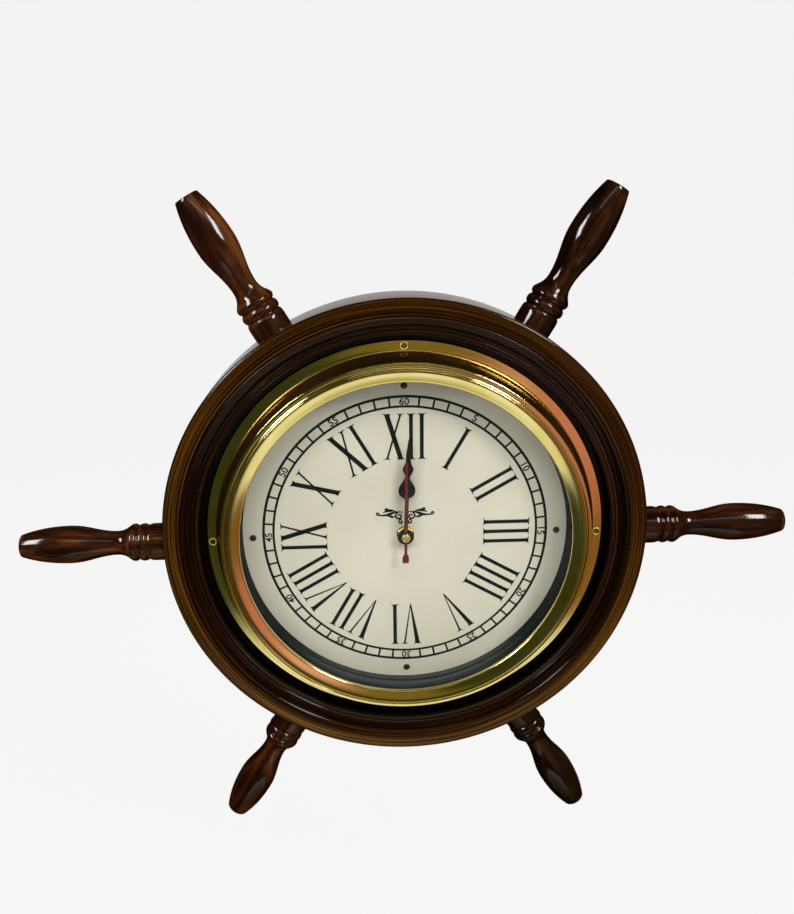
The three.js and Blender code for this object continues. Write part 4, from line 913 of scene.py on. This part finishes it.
def flourish():
    """A traditional scroll of paired curls, above the centre of the dial."""
    rising = ((4, 14.6), (6.5, 14.2), (9.2, 12.9))
    level = ((11.5, 11.8), (14, 12.2), (17.4, 12.6))
    strokes = [
        (curve((1.2, 13.9), rising, level), (0.6, 0.9, 1.9, 1.2, 0.8)),
        (curve((5.6, 14.6), ((8, 15.7), (10.5, 15.2), (13.2, 14.0))), (0.4, 1.9, 0.6)),
        (curve((9.8, 15.0), ((10.4, 16.1), (11.8, 16.3), (12.2, 15.6))), (0.9, 1.9, 0.8)),
        (spiral((3.6, 11.6), 2.4, 0.5, 70, -430), (1.0, 1.1, 0.9, 0.8)),
        (spiral((2.6, 7.9), 1.5, 0.4, 110, -380), (0.7, 1.1, 0.9)),
        (curve((6.0, 11.4), ((7.6, 10.4), (8.6, 11.8), (10.2, 11.6))), (0.5, 1.7, 0.7)),
        (curve((15.4, 12.9), ((15.8, 13.9), (17.2, 14.0), (17.4, 13.1))), (0.6, 1.2, 0.6)),
    ]
    return strokes + [([(-x, z) for x, z in path], widths) for path, widths in strokes]


def text_mesh(text):
    """Plain digits from Blender's own letter shapes, centred, as flat faces."""
    data = bpy.data.curves.new("digits", "FONT")
    data.body = text
    data.size = 1.0
    data.align_x = "CENTER"
    data.offset = 0.02
    obj = added("digits", data)
    bpy.context.view_layer.update()
    graph = bpy.context.evaluated_depsgraph_get()
    mesh = bpy.data.meshes.new_from_object(obj.evaluated_get(graph))
    verts = [v.co.copy() for v in mesh.vertices]
    faces = [tuple(p.vertices) for p in mesh.polygons]
    bpy.data.objects.remove(obj)
    bpy.data.meshes.remove(mesh)
    return verts, faces


def make_print():
    depth = DIAL_DEPTH - PRINT_LIFT
    verts, faces = [], []

    def lay(points, shapes):
        base = len(verts)
        verts.extend(at_depth(points, depth))
        faces.extend(tuple(base + i for i in shape) for shape in shapes)

    for r, width in zip(TRACK_R, TRACK_LINE):
        lay(*ring_strip(r - width / 2, r + width / 2))
    middle = sum(TRACK_R) / 2
    for minute in range(60):
        turn = minute * 6
        if minute % 5:
            tick = rectangle(TICK_WIDTH / 2, (TRACK_R[1] - TRACK_R[0]) / 2, middle)
            lay(spun(tick, turn), [(0, 1, 2, 3)])
            continue
        digits, shapes = text_mesh(str(minute or 60))
        low = min(v.y for v in digits)
        high = max(v.y for v in digits)
        scale = MINUTE_TEXT / (high - low)
        points = [(v.x * scale * 1.05, (v.y - (low + high) / 2) * scale + middle) for v in digits]
        lay(spun(points, turn), shapes)
    for hour, text in enumerate("XII I II III IIII V VI VII VIII IX X XI".split()):
        for shape in numeral(text):
            lay(spun(shape, hour * 30), [tuple(range(len(shape)))])
    for path, widths in flourish():
        left, right = ribbon(path, widths)
        count = len(left)
        quads = [(i, i + 1, count + i + 1, count + i) for i in range(count - 1)]
        lay(left + right, quads)
    return make("dial_printing", verts, faces, INK)


# The hands

def mirrored(edge):
    """A closed outline from its right-hand edge, listed from hub to tip."""
    return edge + [(-x, z) for x, z in reversed(edge) if x > 1e-6]


def hand(name, outline, front, back, look, body, node, lean, bevel=0.1):
    make(name, *slab(spun(outline, lean), front, back, bevel), look, body=body, node=node, sharp=30)


def depth_of(node):
    """The front and back depth of a CAD node, in mm behind the rim's face."""
    low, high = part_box(node)
    return (low.y - FRONT_Y) / MM, (high.y - FRONT_Y) / MM


def make_hands():
    front, back = depth_of("hour_hand")
    blade_back = front + 0.4
    edge = [(1.1, 0.0), (1.1, 22.6)]
    swell = ((1.6, 24.4), (5.0, 24.6), (5.0, 28.8))
    point = ((5.0, 32.6), (1.7, 33.8), (0.35, 39.5))
    edge += curve((1.1, 23.4), swell, point, steps=12)
    hand("hour_hand_blade", mirrored(edge), front, blade_back, BLACK, "hour", "hour_hand", 2.0)
    hand("hour_hand_hub", circle(4.4), front + 0.02, back - 0.02, BLACK, "hour", None, 2.0)

    front, back = depth_of("minute_hand")
    blade_front = front + 0.6
    blade_back = min(back, blade_front + 0.4)
    edge = [(1.1, 0.0), (1.1, 34.6)]
    swell = ((1.3, 39.6), (3.2, 40.6), (3.2, 42.5))
    neck = ((2.9, 44.6), (1.5, 45.0), (1.5, 48.0))
    edge += curve((1.1, 36.0), swell, neck, steps=10) + [(1.35, 52.0), (0.3, 60.6)]
    blade = mirrored(edge)
    hand("minute_hand_blade", blade, blade_front, blade_back, BLACK, "minute", "minute_hand", 2.3)
    hub = [(0.9, blade_front), (4.6, blade_front - 0.12), (4.95, blade_front + 0.15)]
    hub += [(4.95, blade_back), (0.9, blade_back)]
    turned("minute_hand_hub", hub, BLACK, sides=48, body="minute")
    boss = [(1.7, front + 0.15), (1.95, front), (2.75, front), (3.0, front + 0.2)]
    boss += [(3.0, blade_back), (1.7, blade_back)]
    turned("minute_hand_boss", boss, BLACK, sides=40, body="minute")

    front, back = depth_of("second_hand")
    edge = [(1.6, -16.2), (1.95, -15.8), (1.95, -13.0), (1.85, -12.1), (1.2, -11.0), (0.8, -10.2)]
    edge += [(1.05, 0), (0.86, 46.7), (0.6, 47.2)]
    hand("second_hand_blade", mirrored(edge), front, back, RED, "second", "second_hand", 0.9, 0.08)
    cap_front, cap_back = depth_of("second_hand_bush")
    cap = [(0, cap_front + 0.35), (0.7, cap_front + 0.2), (1.1, cap_front + 0.02)]
    cap += arc((1.45, cap_front + 0.95), 1.18, 0.95, 88, 0, 8)
    cap += [(2.45, front - 0.14), (1.27, front - 0.14), (1.27, cap_back), (0, cap_back)]
    turned("second_hand_cap", cap, CAP_BRASS, 40, closed=False, body="second", node="second_hand_bush")


def make_spindle_parts():
    front, back = depth_of("mounting_washer")
    washer = rounded([(SPINDLE_HOLE_R, front), (5.25, front), (5.25, back), (SPINDLE_HOLE_R, back)], 0.12)
    turned("spindle_washer", washer, BRASS, sides=64, node="mounting_washer")
    front, back = depth_of("mounting_nut")
    hexagon = rounded(spun(circle(NUT_FLATS / 2 / cos(pi / 6), 6), -30), 0.5, 3)
    verts, faces = slab(hexagon, front, back, 0.25)
    count = len(hexagon)
    bore = circle(NUT_BORE_R, count)
    last, base = 2 * count, len(verts)
    verts += at_depth(bore, front) + at_depth(bore, back)
    faces = faces[:-2] + band(0, base, count) + band(base, base + count, count)
    faces += band(base + count, last, count)
    make("spindle_nut", verts, faces, NUT_BRASS, node="mounting_nut", sharp=25)


# The back: the movement, its cell and knob, and the hanger

def make_battery():
    low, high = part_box("battery")
    middle = (low + high) / 2
    radius = (high.z - low.z) / 2 / MM
    half = (high.x - low.x) / MM / 2
    shoulder = half - 1.0
    outline = [(0, -half), (4.2, -half), (4.6, -half + 0.2), (radius - 1.0, -half + 0.2)]
    outline += [(radius - 0.35, -half + 0.05), (radius, -half + 0.5), (radius, shoulder - 0.6)]
    outline += [(radius - 0.4, shoulder - 0.12), (radius - 1.0, shoulder), (radius - 1.3, shoulder - 0.25)]
    outline += [(2.9, shoulder - 0.2), (2.7, shoulder), (2.6, half - 0.2), (2.4, half), (0, half)]
    verts, faces = revolved(outline, 64, closed=False)
    lying = Matrix.Rotation(radians(-90), 4, "Z")
    middle = Vector((middle.x / MM, (middle.y - FRONT_Y) / MM, middle.z / MM))
    make("aa_cell", [lying @ v + middle for v in verts], faces, cell(), node="battery")


def make_hanger():
    """A keyhole plate let into the rim's back, with its two screws."""
    front = RIM_THICKNESS - HANGER_THICKNESS
    border = rounded(rectangle(HANGER[0] / 2, HANGER[1] / 2, HANGER_Z), 2.4, 8)
    narrow, wide = KEYHOLE_R
    top, low = HANGER_Z + 4.0, HANGER_Z - 4.0
    meet = degrees(asin(narrow / wide))
    keyhole = arc((0, top), narrow, -narrow, 0, 180, 12)
    keyhole += arc((0, low), wide, -wide, 90 + meet, 450 - meet, 24)
    bm = bmesh.new()
    edges = []
    for loop in (border, keyhole):
        ring = [bm.verts.new(at(x, front, z)) for x, z in loop]
        edges += [bm.edges.new((ring[i], ring[(i + 1) % len(ring)])) for i in range(len(ring))]
    bmesh.ops.triangle_fill(bm, edges=edges, use_beauty=True)
    extruded = bmesh.ops.extrude_face_region(bm, geom=list(bm.faces))
    moved = [g for g in extruded["geom"] if isinstance(g, bmesh.types.BMVert)]
    bmesh.ops.translate(bm, verts=moved, vec=(0, HANGER_THICKNESS * MM, 0))
    bmesh.ops.recalc_face_normals(bm, faces=bm.faces)
    mesh = bpy.data.meshes.new("hanger_steel")
    bm.to_mesh(mesh)
    bm.free()
    shaded(mesh, 35)
    enlist(added("hanger_steel", mesh), STEEL, node="hanger_plate")
    facing_back = Matrix.Rotation(pi, 4, "X")
    for side, name in ((-1, "left"), (1, "right")):
        place = at(side * HANGER_SCREW_X, RIM_THICKNESS - 0.45, HANGER_Z)
        place = Matrix.Translation(place) @ facing_back
        head = "hanger_screw_head_" + name
        screw_head(head, place, 3.0, 0.3, STEEL, "hanger_screw_" + name, angle=25 * side)


def dress_movement():
    """Finishes the CAD nodes that stay: the movement's case and what it holds."""
    wheels = "hour_wheel minute_wheel centre_wheel third_wheel seconds_wheel fifth_wheel setting_knob"
    looks = [
        (RUBBER, "rubber_washer"),
        (CASING, "case_front case_back train_plate"),
        (NYLON, wheels),
        (BRASS, "cannon_pinion"),
        (MAGNET, "rotor"),
        (STEEL, "stator coil_core contact_plus contact_minus quartz_crystal"),
        (BOARD, "circuit_board"),
        (winding(), "coil"),
    ]
    for (material, slot), names in looks:
        for name in names.split():
            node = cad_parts[name]
            node.data.materials.clear()
            node.data.materials.append(material)


# Stage, light and camera

BACKGROUND = rgb(249, 249, 249)
FLOOR_Z = -0.44


def make_stage():
    """A pale floor that curves up into a backdrop far behind the clock."""
    width, front, back, height, bend = 8.0, -5.0, 3.0, 5.0, 1.2
    section = [(front, 0.0)] + arc((back - bend, bend), bend, bend, 90, 0, 12) + [(back, height)]
    verts = [Vector((x, y, FLOOR_Z + z)) for y, z in section for x in (-width / 2, width / 2)]
    faces = [(2 * i, 2 * i + 1, 2 * i + 3, 2 * i + 2) for i in range(len(section) - 1)]
    mesh = bpy.data.meshes.new("floor")
    mesh.from_pydata(verts, [], faces)
    mesh.shade_smooth()
    floor = added("floor", mesh)
    floor.visible_glossy = False
    s = Shader("pale_floor", Roughness=0.9, Base_Color=(0.76, 0.76, 0.76, 1))
    share = s.times(s.seen(), 0.9)
    glow = s.glow((*BACKGROUND, 1), 1.0)
    s.surface(s.add("MixShader", {0: share, 1: s.principled.outputs[0], 2: glow}).outputs[0])
    mesh.materials.append(s.material)


def make_world():
    """Soft light from all round, and the backdrop's colour where the world itself is seen."""
    world = bpy.data.worlds.new("studio")
    SCENE.world = world
    world.use_nodes = True
    world.node_tree.nodes.clear()
    s = Nodes(world.node_tree)
    lit = s.add("Background", {0: (1.0, 0.96, 0.91, 1), 1: 0.43}).outputs[0]
    shown = s.add("Background", {0: (*BACKGROUND, 1)}).outputs[0]
    mixed = s.add("MixShader", {0: s.seen(), 1: lit, 2: shown}).outputs[0]
    s.add("OutputWorld", {0: mixed})


def reflected(name, verts, faces, material):
    """Stage that only mirrors and gloss show."""
    mesh = bpy.data.meshes.new(name)
    mesh.from_pydata(verts, [], faces)
    mesh.materials.append(material)
    obj = added(name, mesh)
    obj.visible_camera = False
    obj.visible_diffuse = False
    obj.visible_transmission = False
    obj.visible_shadow = False


def window_look(name, strength):
    s = Shader(name)
    s.surface(s.glow((1, 1, 1, 1), strength))
    return s.material


def between(s, value, low, high, ease):
    """1 inside a range and 0 outside it, with eased ends."""
    return s.times(s.span(value, low - ease, low + ease), s.span(value, high + ease, high - ease))


def room_look():
    """The room that polished metal mirrors, by bearing and height above level in degrees."""
    s = Shader("room_look")
    direction = s.vector("NORMALIZE", s.place())
    x, y, z = s.add("SeparateXYZ", {0: direction}).outputs
    bearing = s.times(s.math("ARCTAN2", x, s.times(y, -1.0)), 180 / pi)
    height = s.times(s.math("ARCSINE", z), 180 / pi)
    colour = s.ramp(
        s.span(height, -90, 90),
        (0.0, rgb(60, 56, 30)),
        (0.52, rgb(48, 57, 31)),
        (0.70, rgb(76, 72, 40)),
        (0.90, rgb(34, 31, 18)),
    )
    colour = s.mix(s.span(bearing, -38, -60), colour, rgb(52, 44, 24))
    shelf = s.times(between(s, bearing, -2, 13, 2.5), s.span(height, -15, -9))
    colour = s.mix(shelf, colour, rgb(116, 102, 50))
    right = s.times(s.span(bearing, 11, 17), s.span(height, 40, 20))
    colour = s.mix(right, colour, rgb(126, 92, 50))
    curtain = s.times(between(s, bearing, 10, 44, 4), between(s, height, -20, 4, 3))
    colour = s.mix(curtain, colour, rgb(187, 121, 118))
    fold = s.times(between(s, bearing, 11, 20, 3), between(s, height, -11, 0, 3))
    colour = s.mix(s.times(fold, 0.7), colour, rgb(222, 180, 168))
    aside = s.math("SUBTRACT", bearing, 3.0)
    edge = s.math("MULTIPLY_ADD", s.times(aside, aside), 0.0125, height)
    floor_look = s.ramp(
        s.span(height, -80, -30),
        (0.0, rgb(140, 130, 66)),
        (0.35, rgb(158, 150, 92)),
        (0.68, rgb(170, 168, 124)),
        (0.94, rgb(236, 238, 226)),
    )
    colour = s.mix(s.span(edge, -24.5, -29.5), colour, floor_look)
    s.surface(s.glow(colour, 1.25))
    return s.material


# Windows: name; bearing, height above level, width, tallness and lean in degrees; strength
WINDOWS = [
    ("window_left", -62, 32, 12, 22, 30, 30.0),
    ("window_right", 50, 38, 12, 20, -30, 30.0),
    ("window_above", 8, 42, 84, 18, 0, 0.35),
    ("window_edge", 8, 44, 84, 2, 0, 6.0),
]


def make_room():
    """A deep shell in front of the clock, for polished metal and lacquer to mirror."""
    radius, reach = 4.0, 140
    tilts = [radians(reach * t) for t in shares(30)]
    section = [(radius * sin(tilt), -radius * cos(tilt)) for tilt in tilts]
    reflected("room_shell", *revolved(section, 48, closed=False), room_look())
    for name, bearing, height, wide, tall, lean, strength in WINDOWS:
        turn, rise, swing = (radians(v) for v in (bearing, height, lean))
        out = Vector((sin(turn) * cos(rise), -cos(turn) * cos(rise), sin(rise)))
        level = out.cross(Vector((0, 0, 1))).normalized()
        plumb = level.cross(out)
        across = level * cos(swing) - plumb * sin(swing)
        up = plumb * cos(swing) + level * sin(swing)
        pane = rectangle(radius * radians(wide) / 2, radius * radians(tall) / 2)
        corners = [out * (radius - 0.3) + across * w + up * h for w, h in pane]
        reflected(name, corners, [(0, 1, 2, 3)], window_look(name, strength))


# Lamps: name, place, size, power and colour; all point at the clock
LAMPS = [
    ("key", (0.8, -0.85, 0.75), (0.3, 0.3), 9.2, (1.0, 0.98, 0.95)),
    ("second", (-0.85, -0.85, 0.6), (0.3, 0.3), 3.6, (0.98, 1.0, 0.99)),
    ("broad", (0.05, -0.8, 1.1), (1.2, 0.5), 12.4, (1.0, 0.99, 0.96)),
    ("behind", (-0.1, 0.4, 1.4), (1.0, 0.5), 6.0, (1.0, 1.0, 1.0)),
]


def make_lights():
    for name, position, size, power, colour in LAMPS:
        data = bpy.data.lights.new(name, "AREA")
        data.shape = "RECTANGLE"
        data.size, data.size_y = size
        data.energy = power
        data.color = colour
        lamp = added(name, data)
        lamp.location = position
        lamp.rotation_euler = (-Vector(position)).to_track_quat("-Z", "Y").to_euler()
        lamp.visible_glossy = False


# The camera: its place from the axis at the rim's face (mm), its angles (degrees) and its lens (pixels)
CAMERA_AT = (-24.2, -462.6, 201.0)
PITCH, YAW, ROLL, WHEEL_LEAN = 18.225, -0.639, 8.17, 6.858
FOCAL_PX = 856.77
PRINCIPAL_PX = (386.3, 463.5)
PHOTO_PX = (794, 914)
SENSOR = 36.0


def make_camera():
    """The photograph's viewpoint: above the clock's level, a little rolled and off centre."""
    pitch, yaw, roll = (radians(v) for v in (PITCH, YAW, ROLL))
    forward = Vector((sin(yaw) * cos(pitch), cos(yaw) * cos(pitch), -sin(pitch)))
    right = Vector((cos(yaw), -sin(yaw), 0))
    down = forward.cross(right)
    right, down = (
        right * cos(roll) + down * sin(roll),
        down * cos(roll) - right * sin(roll),
    )
    upright = Matrix.Rotation(-radians(WHEEL_LEAN), 3, "Y")
    axes = Matrix((upright @ right, upright @ -down, upright @ -forward)).transposed()
    data = bpy.data.cameras.new("camera")
    longest = max(PHOTO_PX)
    data.sensor_width = SENSOR
    data.lens = FOCAL_PX * SENSOR / longest
    data.shift_x = (PHOTO_PX[0] / 2 - PRINCIPAL_PX[0]) / longest
    data.shift_y = (PRINCIPAL_PX[1] - PHOTO_PX[1] / 2) / longest
    data.clip_start, data.clip_end = 0.01, 50
    camera = added("camera", data)
    place = axes.to_4x4()
    place.translation = at(*CAMERA_AT)
    camera.matrix_world = place
    SCENE.camera = camera


make_camera()
make_rim()
make_handles()
make_flange()
make_bezel()
make_glass()
make_spacer()
make_dial()
make_print()
make_front_screws()
make_hands()
make_spindle_parts()
make_battery()
make_hanger()
dress_movement()
make_stage()
make_room()
make_world()
make_lights()
SCENE.view_settings.view_transform = "Standard"
